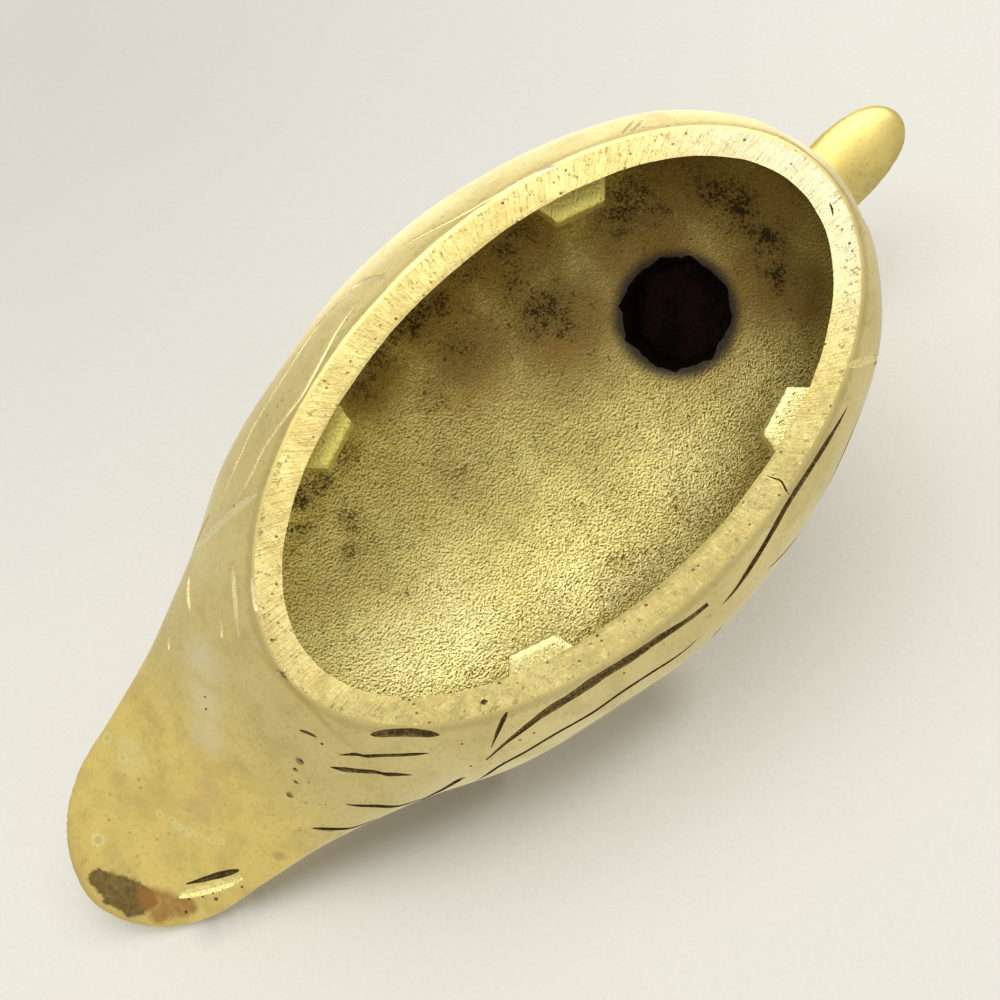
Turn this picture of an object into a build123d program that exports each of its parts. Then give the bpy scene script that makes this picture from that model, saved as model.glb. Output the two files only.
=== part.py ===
from build123d import *
import math
import os

# A hollow cast brass duck that stands on the filed rim of its open base.
# The duck looks along -Y, its left side is +X, and the rim lies on Z = 0.
# The working frame has the middle of the rim at its origin. Each finished piece is then
# shifted along Y, so that the origin ends up under the middle of the whole duck.

# Rim: the flat oval ring that the duck stands on
rim_half_length = 56.7
rim_half_width = 33.4
rim_face_width = 4.8

# Outside of the body
breast_overhang = 3.7
side_overhang = 7.8
tail_length = 54.4
back_height = 50.3
keel_drop = 10.0
tail_tip_thickness = 2.8

# Walls
side_wall = 4.8
roof_wall = 5.0
hollow_past_rim = 3.0

# Ledges inside the rim
ledge_spacing_y = 54.0
ledge_length = 11.5
ledge_reach = 3.2
ledge_recess = 4.5
ledge_thickness = 5.0

# Seat of the neck on the body
neck_seat_y = -31.5
neck_seat_tilt = 20.0
neck_seat_rise = 2.5
neck_radius = 14.0
neck_bevel = 1.2
neck_flare_radius = 23.0
neck_flare_depth = 8.6
neck_opening_radius = 10.2

# Neck, head and bill
bill_reach = 89.6
head_length = 53.8
head_half_width = 12.5
head_low_height = 61.5
head_height = 27.3
neck_wall = 4.0
head_hollow_radius = 8.6

# Feather cuts
wing_cut_width = 1.2
feather_cut_width = 0.9
feather_cut_depth = 0.55
feather_cut_step = 7.0

# Filler ring and core
fit_clearance = 0.05
braze_bulge = 0.3
core_recess = 1.5
core_clearance = 0.1

# One overrun for every cut
overrun = 5.0

# Body stations from breast to tail tip: place along the body, half width as a share of the
# greatest half width, height of the back and height of the widest line as shares of the back height
body_shares = (
    (0.000, 0.000, 0.298, 0.298),
    (0.010, 0.214, 0.427, 0.302),
    (0.038, 0.442, 0.586, 0.314),
    (0.084, 0.646, 0.748, 0.328),
    (0.146, 0.791, 0.863, 0.344),
    (0.222, 0.908, 0.946, 0.360),
    (0.309, 0.983, 0.990, 0.374),
    (0.402, 0.998, 1.000, 0.388),
    (0.500, 0.937, 0.980, 0.410),
    (0.598, 0.840, 0.928, 0.443),
    (0.691, 0.665, 0.859, 0.493),
    (0.778, 0.539, 0.801, 0.557),
    (0.854, 0.468, 0.759, 0.616),
    (0.916, 0.415, 0.736, 0.656),
    (0.962, 0.313, 0.726, 0.680),
    (0.990, 0.167, 0.724, 0.694),
    (1.000, 0.000, 0.724, 0.696),
)

# Underside of the tail: place behind the rim as a share of the tail length, and height as a
# share of the height of the tail tip's underside
tail_under_shares = (
    (0.00, 0.000),
    (0.10, 0.190),
    (0.20, 0.369),
    (0.30, 0.533),
    (0.42, 0.679),
    (0.55, 0.801),
    (0.70, 0.896),
    (0.85, 0.961),
    (1.00, 1.000),
)

# Head stations from the nape to the bill tip: place along the head, half width as a share of
# the head's, then the heights of top, underside and widest line as shares of the head height
head_shares = (
    (0.000, 0.000, 0.458, 0.458, 0.458),
    (0.019, 0.360, 0.659, 0.238, 0.464),
    (0.070, 0.664, 0.832, 0.106, 0.470),
    (0.155, 0.888, 0.952, 0.033, 0.476),
    (0.268, 1.000, 1.000, 0.000, 0.474),
    (0.372, 0.976, 0.956, 0.011, 0.458),
    (0.467, 0.856, 0.824, 0.048, 0.414),
    (0.543, 0.712, 0.652, 0.077, 0.330),
    (0.609, 0.624, 0.502, 0.081, 0.249),
    (0.684, 0.584, 0.370, 0.062, 0.187),
    (0.779, 0.572, 0.253, 0.040, 0.136),
    (0.864, 0.520, 0.190, 0.029, 0.110),
    (0.940, 0.400, 0.165, 0.033, 0.103),
    (0.987, 0.200, 0.150, 0.051, 0.103),
    (1.000, 0.000, 0.103, 0.103, 0.103),
)

# Neck rings between the seat and the middle of the head: forward and upward shares of that
# way, radius as a share of the neck radius, and tilt as a share of a right angle
neck_shares = (
    (0.233, 0.330, 0.870, 0.26),
    (0.490, 0.610, 0.825, 0.38),
    (0.800, 0.850, 0.770, 0.55),
)

# Neck opening seen from below: its corners as shares of a turn and of the opening's radius
opening_shares = (
    (0.015, 0.94), (0.125, 0.99), (0.205, 0.96), (0.300, 0.97), (0.395, 0.98),
    (0.500, 0.95), (0.590, 0.97), (0.660, 1.00), (0.790, 0.99), (0.900, 0.93),
)

# Wing outline on the side: its edge and its rear end, each point's place along the body, and its
# height as a share of the back height
wing_edge_shares = (
    (0.104, 0.159), (0.090, 0.298), (0.096, 0.477), (0.131, 0.616), (0.201, 0.696), (0.306, 0.746),
    (0.422, 0.765), (0.539, 0.746), (0.632, 0.696), (0.702, 0.646), (0.749, 0.626),
)
wing_rear_shares = ((0.737, 0.586), (0.702, 0.497), (0.667, 0.388), (0.638, 0.278))

# Long feather lines on the side, written the same way
feather_shares = (
    ((0.119, 0.298), (0.201, 0.358), (0.294, 0.368), (0.358, 0.338)),
    ((0.125, 0.427), (0.206, 0.497), (0.294, 0.507), (0.370, 0.477)),
    ((0.148, 0.537), (0.224, 0.606), (0.306, 0.626), (0.381, 0.606)),
    ((0.393, 0.398), (0.480, 0.427), (0.574, 0.437), (0.661, 0.447)),
    ((0.399, 0.527), (0.492, 0.557), (0.597, 0.557), (0.696, 0.537)),
    ((0.405, 0.646), (0.504, 0.666), (0.609, 0.636), (0.714, 0.596)),
    ((0.136, 0.189), (0.189, 0.219), (0.247, 0.239), (0.306, 0.209)),
    ((0.390, 0.169), (0.469, 0.169), (0.545, 0.199), (0.620, 0.298)),
)

# Lines on top of the tail: each point's place along the body, and its distance from the middle as
# a share of the body's half width
tail_line_shares = (
    ((0.784, -0.188), (0.859, -0.258), (0.941, -0.303)),
    ((0.784, -0.113), (0.859, -0.155), (0.941, -0.182)),
    ((0.784, -0.038), (0.859, -0.052), (0.941, -0.061)),
    ((0.784, 0.038), (0.859, 0.052), (0.941, 0.061)),
    ((0.784, 0.113), (0.859, 0.155), (0.941, 0.182)),
    ((0.784, 0.188), (0.859, 0.258), (0.941, 0.303)),
)

# Powers of the rounded outlines, and how the shapes are sampled
keel_power = 6.0
upper_power = 2.15
tail_power = 2.9
head_power = 2.1
hollow_end_power = 5.0
tip_share = 0.0002
station_count = 30
hollow_station_count = 22
ring_points = 24

# Sizes worked out from the ones above
breast_reach = rim_half_length + breast_overhang
tail_reach = rim_half_length + tail_length
body_length = breast_reach + tail_reach
body_half_width = rim_half_width + side_overhang
breast_height = back_height * body_shares[0][2]
tail_under_height = back_height * body_shares[-1][2] - tail_tip_thickness
duck_shift = (bill_reach - tail_reach) / 2


# Value of one column of a table at a place between its stations, on a smooth curve
def smooth(rows, share, column):
    turns = [math.acos(1 - 2 * row[0]) for row in rows]
    values = [row[column] for row in rows]
    turn = math.acos(1 - 2 * min(max(share, 0), 1))
    last = len(rows) - 1
    slopes = []
    for i in range(last + 1):
        before, after = max(i - 1, 0), min(i + 1, last)
        slopes.append((values[after] - values[before]) / (turns[after] - turns[before]))
    i = 0
    while i < last - 1 and turn > turns[i + 1]:
        i += 1
    span = turns[i + 1] - turns[i]
    t = (turn - turns[i]) / span
    return (
        values[i] * (1 + 2 * t) * (1 - t) ** 2
        + slopes[i] * span * t * (1 - t) ** 2
        + values[i + 1] * t * t * (3 - 2 * t)
        - slopes[i + 1] * span * t * t * (1 - t)
    )


# Height of the body's lowest line, which the rim's plane cuts away between the rim's ends
def keel_height(y):
    if y > rim_half_length:
        place = (y - rim_half_length) / tail_length
        return tail_under_height * smooth(tail_under_shares, place, 1)
    if y < -rim_half_length:
        place = min((-y - rim_half_length) / breast_overhang, 1)
        return breast_height * (1 - math.sqrt(1 - place))
    return -keel_drop * (1 - (abs(y) / rim_half_length) ** keel_power)


# Half width of the standing oval at a place along it, for the rim's outer or inner edge
def oval_half_width(y, half_length, half_width):
    return half_width * math.sqrt(max(1 - (y / half_length) ** 2, 0))


# Power of the lower half of a section whose width at the rim's plane is given
def lower_power(across, down):
    low, high = 1.0, 8.0
    for _ in range(50):
        middle = (low + high) / 2
        if across ** middle + down ** middle > 1:
            low = middle
        else:
            high = middle
    return middle


# Closed curve across the duck: rounded above and below its widest line
def ring(y, half_width, top, widest, bottom, power_above, power_below):
    points = []
    for k in range(ring_points):
        angle = 2 * math.pi * k / ring_points
        c, s = math.cos(angle), math.sin(angle)
        power = power_above if s >= 0 else power_below
        rise = top - widest if s >= 0 else widest - bottom
        x = half_width * math.copysign(abs(c) ** (2 / power), c)
        z = widest + rise * math.copysign(abs(s) ** (2 / power), s)
        points.append((x, y, z))
    return Wire([Edge.make_spline([Vector(*p) for p in points], periodic=True)])


# Shares from 0 to 1, closer together at both ends
def stations(count, tip):
    shares = [(1 - math.cos(math.pi * k / count)) / 2 for k in range(count + 1)]
    return [tip] + shares[1:-1] + [1 - tip]


def body_half_width_at(y):
    return body_half_width * smooth(body_shares, (y + breast_reach) / body_length, 1)


def body_crest(y):
    return back_height * smooth(body_shares, (y + breast_reach) / body_length, 2)


def body_girth(y):
    return back_height * smooth(body_shares, (y + breast_reach) / body_length, 3)


# Powers of the body's section above and below its widest line
def body_powers(y):
    toward_tail = max((y - rim_half_length) / tail_length, 0)
    above = upper_power + (tail_power - upper_power) * toward_tail
    below = above
    if abs(y) < rim_half_length:
        girth = body_girth(y)
        across = oval_half_width(y, rim_half_length, rim_half_width) / body_half_width_at(y)
        below = lower_power(across, girth / (girth - keel_height(y)))
    return above, below


# Solid outer form of breast, back, rump and tail, still reaching below the rim's plane
def outer_form():
    rings = []
    for share in stations(station_count, tip_share):
        y = -breast_reach + body_length * share
        above, below = body_powers(y)
        half_width = body_half_width_at(y)
        rings.append(ring(y, half_width, body_crest(y), body_girth(y), keel_height(y), above, below))
    return Solid.make_loft(rings)


# Half width of the body at a place along it and a height
def side_at(y, z):
    above, below = body_powers(y)
    girth = body_girth(y)
    power, rise = (above, body_crest(y) - girth) if z > girth else (below, girth - keel_height(y))
    return body_half_width_at(y) * (1 - (abs(z - girth) / rise) ** power) ** (1 / power)


# Height of the back at a place along the body and a distance from the middle
def top_at(y, x):
    power = body_powers(y)[0]
    girth = body_girth(y)
    return girth + (body_crest(y) - girth) * (1 - (abs(x) / body_half_width_at(y)) ** power) ** (1 / power)


# Tool of one feather cut: short straight stretches that follow a line on the surface, and reach
# from the bottom of the cut out past the body
def cut_tool(line, width, surface, reach, corner):
    places = [line[0]]
    for start, end in zip(line, line[1:]):
        steps = math.ceil(math.dist(start, end) / feather_cut_step)
        for k in range(1, steps + 1):
            places.append(tuple(a + (b - a) * k / steps for a, b in zip(start, end)))
    sections = []
    for k, (along, over) in enumerate(places):
        before, after = places[max(k - 1, 0)], places[min(k + 1, len(places) - 1)]
        way = Vector(after[0] - before[0], after[1] - before[1]).normalized()
        beside = width / 2
        slope_along = (surface(along + beside, over) - surface(along - beside, over)) / width
        slope_over = (surface(along, over + beside) - surface(along, over - beside)) / width
        depth = feather_cut_depth * math.hypot(1, slope_along, slope_over)
        left = (along - way.Y * beside, over + way.X * beside)
        right = (along + way.Y * beside, over - way.X * beside)
        outline = [
            corner(*left, surface(*left) - depth),
            corner(*right, surface(*right) - depth),
            corner(*right, reach),
            corner(*left, reach),
        ]
        sections.append(Wire.make_polygon(outline, close=True))
    return Solid.make_loft(sections, ruled=True)


def feather_tools():
    side_lines = [(wing_edge_shares, wing_cut_width), (wing_rear_shares, wing_cut_width)]
    side_lines += [(line, feather_cut_width) for line in feather_shares]
    tools = []
    for shares, width in side_lines:
        line = [(-breast_reach + body_length * along, back_height * height) for along, height in shares]
        reach = body_half_width + overrun
        tools.append(cut_tool(line, width, side_at, reach, lambda y, z, out: (out, y, z)))
        tools.append(cut_tool(line, width, side_at, reach, lambda y, z, out: (-out, y, z)))
    for shares in tail_line_shares:
        line = [(-breast_reach + body_length * along, body_half_width * aside) for along, aside in shares]
        reach = back_height + overrun
        tools.append(cut_tool(line, feather_cut_width, top_at, reach, lambda y, x, out: (x, y, out)))
    return tools


# Hollow of the body, wall by wall inside the outer form and open at the rim
def hollow_form():
    front = -breast_reach + side_wall
    rear = rim_half_length + hollow_past_rim
    open_half_length = rim_half_length - rim_face_width
    open_half_width = rim_half_width - rim_face_width
    rings = []
    for share in stations(hollow_station_count, tip_share):
        y = front + (rear - front) * share
        closing = (1 - abs(2 * share - 1) ** hollow_end_power) ** (1 / hollow_end_power)
        half_width = (body_half_width_at(y) - side_wall) * closing
        girth = body_girth(y)
        top = girth + (body_crest(y) - roof_wall - girth) * closing
        if abs(y) < open_half_length:
            keel = -keel_drop * (1 - (abs(y) / open_half_length) ** keel_power)
            across = oval_half_width(y, open_half_length, open_half_width) / half_width
            below = lower_power(across, girth / (girth - keel))
        else:
            end = -front if y < 0 else rear
            place = min((abs(y) - open_half_length) / (end - open_half_length), 1)
            keel = girth * (1 - math.sqrt(1 - place))
            below = upper_power
        rings.append(ring(y, half_width, top, girth, keel, upper_power, below))
    return Solid.make_loft(rings)


# Plane of the neck seat: its middle lies over the back, and its normal leans forward
def neck_seat():
    tilt = math.radians(neck_seat_tilt)
    normal = Vector(0, -math.sin(tilt), math.cos(tilt))
    middle = Vector(0, neck_seat_y, body_crest(neck_seat_y)) + normal * neck_seat_rise
    return Plane(origin=middle, x_dir=(1, 0, 0), z_dir=normal)


# Trumpet-shaped foot of the neck, part of the body casting
def neck_foot(seat):
    flank = Spline(
        (neck_radius, -neck_bevel),
        (neck_flare_radius, -neck_flare_depth),
        tangents=((0.25, -1), (1, -0.55)),
    )
    bottom = -neck_flare_depth - overrun
    outline = Polyline(
        (neck_flare_radius, -neck_flare_depth),
        (neck_flare_radius, bottom),
        (0, bottom),
        (0, 0),
        (neck_radius - neck_bevel, 0),
        (neck_radius, -neck_bevel),
    )
    face = make_face([flank, *outline.edges()])
    upright = Plane.XZ * face
    return seat * revolve(upright, axis=Axis.Z)


# The four cast ledges, each a blunt wedge from the wall inward
def ledges(outer):
    inner_half_length = rim_half_length - rim_face_width
    inner_half_width = rim_half_width - rim_face_width
    blocks = []
    for side in (-1, 1):
        for end in (-1, 1):
            y = end * ledge_spacing_y / 2
            x = side * oval_half_width(y, inner_half_length, inner_half_width)
            # direction square to the inner edge at this place
            slope = math.atan2(y / inner_half_length ** 2, x / inner_half_width ** 2)
            place = Plane(
                origin=(x, y, ledge_recess),
                x_dir=(math.cos(slope), math.sin(slope), 0),
                z_dir=(0, 0, 1),
            )
            corner = ledge_reach / 2
            outline = Polyline(
                (rim_face_width, -ledge_length / 2 - corner),
                (0, -ledge_length / 2),
                (-ledge_reach, -ledge_length / 2 + corner),
                (-ledge_reach, ledge_length / 2 - corner),
                (0, ledge_length / 2),
                (rim_face_width, ledge_length / 2 + corner),
                close=True,
            )
            block = extrude(place * make_face(outline), amount=ledge_thickness)
            blocks.append(block & outer)
    return blocks


# Irregular opening in the roof under the neck
def neck_opening(seat):
    corners = []
    for turn, reach in opening_shares:
        angle = 2 * math.pi * turn
        radius = neck_opening_radius * reach
        corners.append((radius * math.cos(angle), radius * math.sin(angle)))
    depth = neck_seat_rise + roof_wall + overrun
    face = make_face(Polyline(*corners, close=True))
    below = seat.offset(-depth) * face
    return extrude(below, amount=depth + overrun, dir=seat.z_dir)


def body_shell(seat):
    outer = outer_form()
    under_rim = Box(
        2 * body_length, 2 * body_length, keel_drop + overrun, align=(Align.CENTER, Align.CENTER, Align.MAX)
    )
    outer = outer - under_rim
    shell = outer.cut(*feather_tools()) + neck_foot(seat) - hollow_form() - neck_opening(seat)
    for ledge in ledges(outer):
        shell = shell + ledge
    return shell


# Middle of the head, where the neck leads
def head_middle():
    share = head_shares[4][0]
    y = -bill_reach + head_length * (1 - share)
    z = head_low_height + head_height * head_shares[4][4]
    return Vector(0, y, z)


# Rings of the neck, or of its bore when a wall is taken off, from a height over the seat
def neck_rings(seat, inset, start):
    middle, way = seat.origin, head_middle() - seat.origin
    wires = [(seat.offset(start) * Circle(neck_radius - inset)).wire()]
    for forward, rise, radius, tilt in neck_shares:
        lean = math.radians(90 * tilt)
        place = Plane(
            origin=(0, middle.Y + way.Y * forward, middle.Z + way.Z * rise),
            x_dir=(1, 0, 0),
            z_dir=(0, -math.sin(lean), math.cos(lean)),
        )
        wires.append((place * Circle(neck_radius * radius - inset)).wire())
    return wires


# Head and bill as one smooth form
def head_form():
    nape = -bill_reach + head_length
    rings = []
    for share in stations(hollow_station_count, tip_share):
        half_width = head_half_width * smooth(head_shares, share, 1)
        top, under, widest = (
            head_low_height + head_height * smooth(head_shares, share, column) for column in (2, 3, 4)
        )
        y = nape - head_length * share
        rings.append(ring(y, half_width, top, widest, under, head_power, head_power))
    return Solid.make_loft(rings)


# Hollow of neck and head, or the core in it when a clearance is taken off
def head_hollow(seat, start, clearance):
    bore = Solid.make_loft(neck_rings(seat, neck_wall + clearance, start))
    middle = head_middle()
    return bore + Pos(middle.X, middle.Y, middle.Z) * Sphere(head_hollow_radius - clearance)


def head_and_neck(seat):
    bevel = Solid.make_loft([
        (seat * Circle(neck_radius - neck_bevel)).wire(),
        (seat.offset(neck_bevel) * Circle(neck_radius)).wire(),
    ])
    neck = Solid.make_loft(neck_rings(seat, 0, neck_bevel))
    return bevel + neck + head_form() - head_hollow(seat, 0, 0)


# Filler metal in the V between the two bevels, a little proud of the neck
def neck_braze_ring(seat):
    gap = math.sqrt(2) * fit_clearance
    outline = Polyline(
        (neck_radius - neck_bevel + gap, 0),
        (neck_radius, neck_bevel - gap),
        (neck_radius + braze_bulge, 0),
        (neck_radius, gap - neck_bevel),
        close=True,
    )
    return seat * revolve(Plane.XZ * make_face(outline), axis=Axis.Z)


def core_plug(seat):
    return head_hollow(seat, core_recess, core_clearance)


def main():
    seat = neck_seat()
    pieces = {
        "body_shell": body_shell(seat),
        "head_and_neck": head_and_neck(seat),
        "neck_braze_ring": neck_braze_ring(seat),
        "core_plug": core_plug(seat),
    }
    os.makedirs("parts", exist_ok=True)
    for name, piece in pieces.items():
        export_step(Pos(0, duck_shift, 0) * piece, f"parts/{name}.step")


main()
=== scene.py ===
import math
import bmesh
import bpy
import numpy as np
from mathutils import Matrix, Vector
from mathutils.bvhtree import BVHTree


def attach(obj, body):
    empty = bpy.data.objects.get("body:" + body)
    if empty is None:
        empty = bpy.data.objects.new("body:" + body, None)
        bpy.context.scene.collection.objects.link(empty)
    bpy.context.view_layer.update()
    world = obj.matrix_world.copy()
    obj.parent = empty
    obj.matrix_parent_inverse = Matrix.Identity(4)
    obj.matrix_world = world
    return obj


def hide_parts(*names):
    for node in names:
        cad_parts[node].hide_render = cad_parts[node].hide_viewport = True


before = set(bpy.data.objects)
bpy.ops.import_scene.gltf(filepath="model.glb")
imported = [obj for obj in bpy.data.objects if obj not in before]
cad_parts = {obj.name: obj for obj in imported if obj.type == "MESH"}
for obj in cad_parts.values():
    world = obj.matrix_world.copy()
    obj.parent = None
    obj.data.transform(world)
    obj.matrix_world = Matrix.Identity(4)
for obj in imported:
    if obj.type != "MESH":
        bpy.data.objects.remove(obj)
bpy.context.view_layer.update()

mm = 0.001
scene = bpy.context.scene

# Sizes are in millimetres from the middle of the filed rim. The duck looks along -Y and stands
# on the rim at Z = 0; place() turns such points into metres in the shared frame.
body = {
    "rimHalfLength": 56.7,
    "rimHalfWidth": 33.4,
    "rimFace": 4.8,
    "breastOverhang": 3.7,
    "sideOverhang": 7.8,
    "tailLength": 54.4,
    "backHeight": 50.3,
    "keelDrop": 10.0,
    "tailTip": 2.8,
    "sideWall": 4.8,
    "roofWall": 5.0,
    "hollowPastRim": 3.0,
    "tailLean": 1.6,        # this casting's tail leans a little to its left
    "squareness": 2.15,     # power of the rings' curve: 2 is an ellipse, more is squarer
    "tailSquarer": 0.75,
    "voxel": 0.95,
    "softJoin": 3.0,
    "handLumps": (0.22, 13.0),    # depth and width of the unevenness left by hand finishing
    "fileLumps": (0.05, 3.5),
    "castLumps": (0.45, 6.0),     # the same for the wall inside
}
neck = {
    "seatY": -31.5,
    "seatTilt": 20.0,
    "seatRise": 2.5,
    "radius": 14.0,
    "bevel": 1.2,
    "flareRadius": 23.0,
    "flareDepth": 8.6,
    "openingRadius": 10.2,
    "openingShift": (-0.9, -0.9),    # the rough opening isn't quite central
    "wall": 4.0,
    "brazeBulge": 0.3,
    "gap": 0.07,
}
head = {
    "billReach": 89.6,
    "length": 53.8,
    "halfWidth": 12.5,
    "lowHeight": 61.5,
    "height": 27.3,
    "hollowRadius": 8.6,
    "squareness": 2.1,
    "voxel": 0.6,
    "softJoin": 2.4,
    "handLumps": (0.15, 9.0),
}
# what is left of the fired core, with a broken face and loose crumbs
coreRest = {"gap": 0.1, "voxel": 0.5, "brokenLumps": (1.6, 5.0), "crumbLumps": (0.5, 1.6)}
# rings along each form, and points round each ring
fineness = {"body": (260, 200), "hollow": (150, 150), "head": (130, 110)}

# place along the body, then half width, back height and girth height as shares
bodyShares = [
    (0.000, 0.000, 0.298, 0.298), (0.010, 0.214, 0.427, 0.302), (0.038, 0.442, 0.586, 0.314),
    (0.084, 0.646, 0.748, 0.328), (0.146, 0.791, 0.863, 0.344), (0.222, 0.908, 0.946, 0.360),
    (0.309, 0.983, 0.990, 0.374), (0.402, 0.998, 1.000, 0.388), (0.500, 0.937, 0.980, 0.410),
    (0.598, 0.840, 0.928, 0.443), (0.691, 0.665, 0.859, 0.493), (0.778, 0.539, 0.801, 0.557),
    (0.854, 0.468, 0.759, 0.616), (0.916, 0.415, 0.736, 0.656), (0.962, 0.313, 0.726, 0.680),
    (0.990, 0.167, 0.724, 0.694), (1.000, 0.000, 0.724, 0.696),
]
tailUnderShares = [
    (0.00, 0.000), (0.10, 0.190), (0.20, 0.369), (0.30, 0.533), (0.42, 0.679),
    (0.55, 0.801), (0.70, 0.896), (0.85, 0.961), (1.00, 1.000),
]
# place along the head, then half width, top, underside and widest line as shares
headShares = [
    (0.000, 0.000, 0.458, 0.458, 0.458), (0.019, 0.360, 0.659, 0.238, 0.464),
    (0.070, 0.664, 0.832, 0.106, 0.470), (0.155, 0.888, 0.952, 0.033, 0.476),
    (0.268, 1.000, 1.000, 0.000, 0.474), (0.372, 0.976, 0.956, 0.011, 0.458),
    (0.467, 0.856, 0.824, 0.048, 0.414), (0.543, 0.712, 0.652, 0.077, 0.330),
    (0.609, 0.624, 0.502, 0.081, 0.249), (0.684, 0.584, 0.370, 0.062, 0.187),
    (0.779, 0.572, 0.253, 0.040, 0.136), (0.864, 0.520, 0.190, 0.029, 0.110),
    (0.940, 0.400, 0.165, 0.033, 0.103), (0.987, 0.200, 0.150, 0.051, 0.103),
    (1.000, 0.000, 0.103, 0.103, 0.103),
]
# forward and upward shares of the way to the head, radius share and tilt of the neck's rings
neckShares = [(0.233, 0.330, 0.870, 0.26), (0.490, 0.610, 0.825, 0.38), (0.800, 0.850, 0.770, 0.55)]
# corners of the neck opening: share of a turn, and reach as a share of its radius
openingShares = [
    (0.015, 0.94), (0.125, 0.99), (0.205, 0.96), (0.300, 0.97), (0.395, 0.98),
    (0.500, 0.95), (0.590, 0.97), (0.660, 1.00), (0.790, 0.99), (0.900, 0.93),
]

rimLength, rimWidth = body["rimHalfLength"], body["rimHalfWidth"]
openLength, openWidth = rimLength - body["rimFace"], rimWidth - body["rimFace"]
breastReach, tailReach = rimLength + body["breastOverhang"], rimLength + body["tailLength"]
bodyLength, bodyWidth = breastReach + tailReach, rimWidth + body["sideOverhang"]
backHeight = body["backHeight"]
tailUnder = backHeight * bodyShares[-1][2] - body["tailTip"]
duckShift = (head["billReach"] - tailReach) / 2


def place(points):
    return (np.asarray(points, float).reshape(-1, 3) + (0, duckShift, 0)) * mm


def addObject(name, data):
    made = bpy.data.objects.new(name, data)
    scene.collection.objects.link(made)
    return made


# Camera: at the photograph's viewpoint, below the open base, with its long lens.
camera = {
    "place": (9.97, 15.76, -288.9),
    "right": (0.6957, -0.7182, 0.0152),
    "look": (-0.0276, -0.0056, 0.9996),
    "focalPixels": 1900,
    "pictureSide": 1000,
    "rimMiddle": (556, 424),    # pixel
}
lookAxis = Vector(camera["look"]).normalized()
rightAxis = Vector(camera["right"])
rightAxis = (rightAxis - lookAxis * rightAxis.dot(lookAxis)).normalized()
upAxis = rightAxis.cross(lookAxis)
cameraPlace = Vector(place(camera["place"])[0])
cameraData = bpy.data.cameras.new("photoCamera")
cameraData.sensor_width = 36
cameraData.lens = camera["focalPixels"] * cameraData.sensor_width / camera["pictureSide"]
cameraData.clip_start, cameraData.clip_end = 0.01, 20
cameraObject = addObject("photoCamera", cameraData)
turned = Matrix((rightAxis, upAxis, -lookAxis)).transposed().to_4x4()
cameraObject.matrix_world = Matrix.Translation(cameraPlace) @ turned
scene.camera = cameraObject
print("stage: camera")


# Node trees: a wrapped socket takes part in plain sums, and one method makes any other node.
def plug(tree, socket, value):
    if isinstance(value, Signal):
        tree.links.new(value.socket, socket)
    else:
        socket.default_value = value


class Signal:
    def __init__(self, tree, socket):
        self.tree, self.socket = tree, socket

    def maths(self, operation, first, second=0.0):
        made = self.tree.nodes.new("ShaderNodeMath")
        made.operation = operation
        plug(self.tree, made.inputs[0], first)
        plug(self.tree, made.inputs[1], second)
        return Signal(self.tree, made.outputs[0])

    def __add__(self, other):
        return self.maths("ADD", self, other)

    def __sub__(self, other):
        return self.maths("SUBTRACT", self, other)

    def __rsub__(self, other):
        return self.maths("SUBTRACT", other, self)

    def __mul__(self, other):
        return self.maths("MULTIPLY", self, other)

    def __truediv__(self, other):
        return self.maths("DIVIDE", self, other)

    def highest(self, other):
        return self.maths("MAXIMUM", self, other)

    __radd__ = __add__
    __rmul__ = __mul__


class NodeWork:
    def __init__(self, tree):
        self.tree = tree

    def node(self, kind, settings=None, values=None, output=0):
        made = self.tree.nodes.new(kind)
        for name, value in (settings or {}).items():
            setattr(made, name, value)
        for name, value in (values or {}).items():
            plug(self.tree, made.inputs[name], value)
        return Signal(self.tree, made.outputs[output])

    # 0 below the low value and 1 above the high one, or the other way round
    def step(self, value, low, high):
        return self.node("ShaderNodeMapRange", {"interpolation_type": "SMOOTHSTEP"}, {
            0: value, 1: min(low, high), 2: max(low, high), 3: float(low > high), 4: float(low < high),
        })

    def blend(self, factor, first, second, mode="MIX"):
        first, second = ((*c, 1) if isinstance(c, tuple) and len(c) == 3 else c for c in (first, second))
        settings = {"data_type": "RGBA", "blend_type": mode}
        return self.node("ShaderNodeMix", settings, {0: factor, 6: first, 7: second}, 2)


# Geometry tree with named inputs, which runs once on an object and leaves a plain mesh
class ShapeTree(NodeWork):
    def __init__(self, name, inputs):
        super().__init__(bpy.data.node_groups.new(name, "GeometryNodeTree"))
        self.names = {}
        self.tree.interface.new_socket("Geometry", in_out="INPUT", socket_type="NodeSocketGeometry")
        for label, (kind, value) in inputs.items():
            socket = self.tree.interface.new_socket(label, in_out="INPUT", socket_type="NodeSocket" + kind)
            if value is not None:
                socket.default_value = value
            self.names[label] = socket.identifier
        self.tree.interface.new_socket("Geometry", in_out="OUTPUT", socket_type="NodeSocketGeometry")
        self.start = self.tree.nodes.new("NodeGroupInput")
        self.end = self.tree.nodes.new("NodeGroupOutput")

    def input(self, label):
        return Signal(self.tree, self.start.outputs[label])

    def finish(self, geometry):
        plain = self.node("GeometryNodeRealizeInstances", values={"Geometry": geometry})
        dressed = self.node("GeometryNodeSetMaterial", values={
            "Geometry": plain, "Material": self.input("Material"),
        })
        self.tree.links.new(dressed.socket, self.end.inputs["Geometry"])

    def run(self, target, **values):
        step = target.modifiers.new("shape", "NODES")
        step.node_group = self.tree
        for label, value in values.items():
            step[self.names[label]] = value
        return settle(target)


def settle(target):
    bpy.context.view_layer.update()
    made = bpy.data.meshes.new_from_object(target.evaluated_get(bpy.context.evaluated_depsgraph_get()))
    old = target.data
    target.modifiers.clear()
    target.data = made
    bpy.data.meshes.remove(old)
    return target


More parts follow.
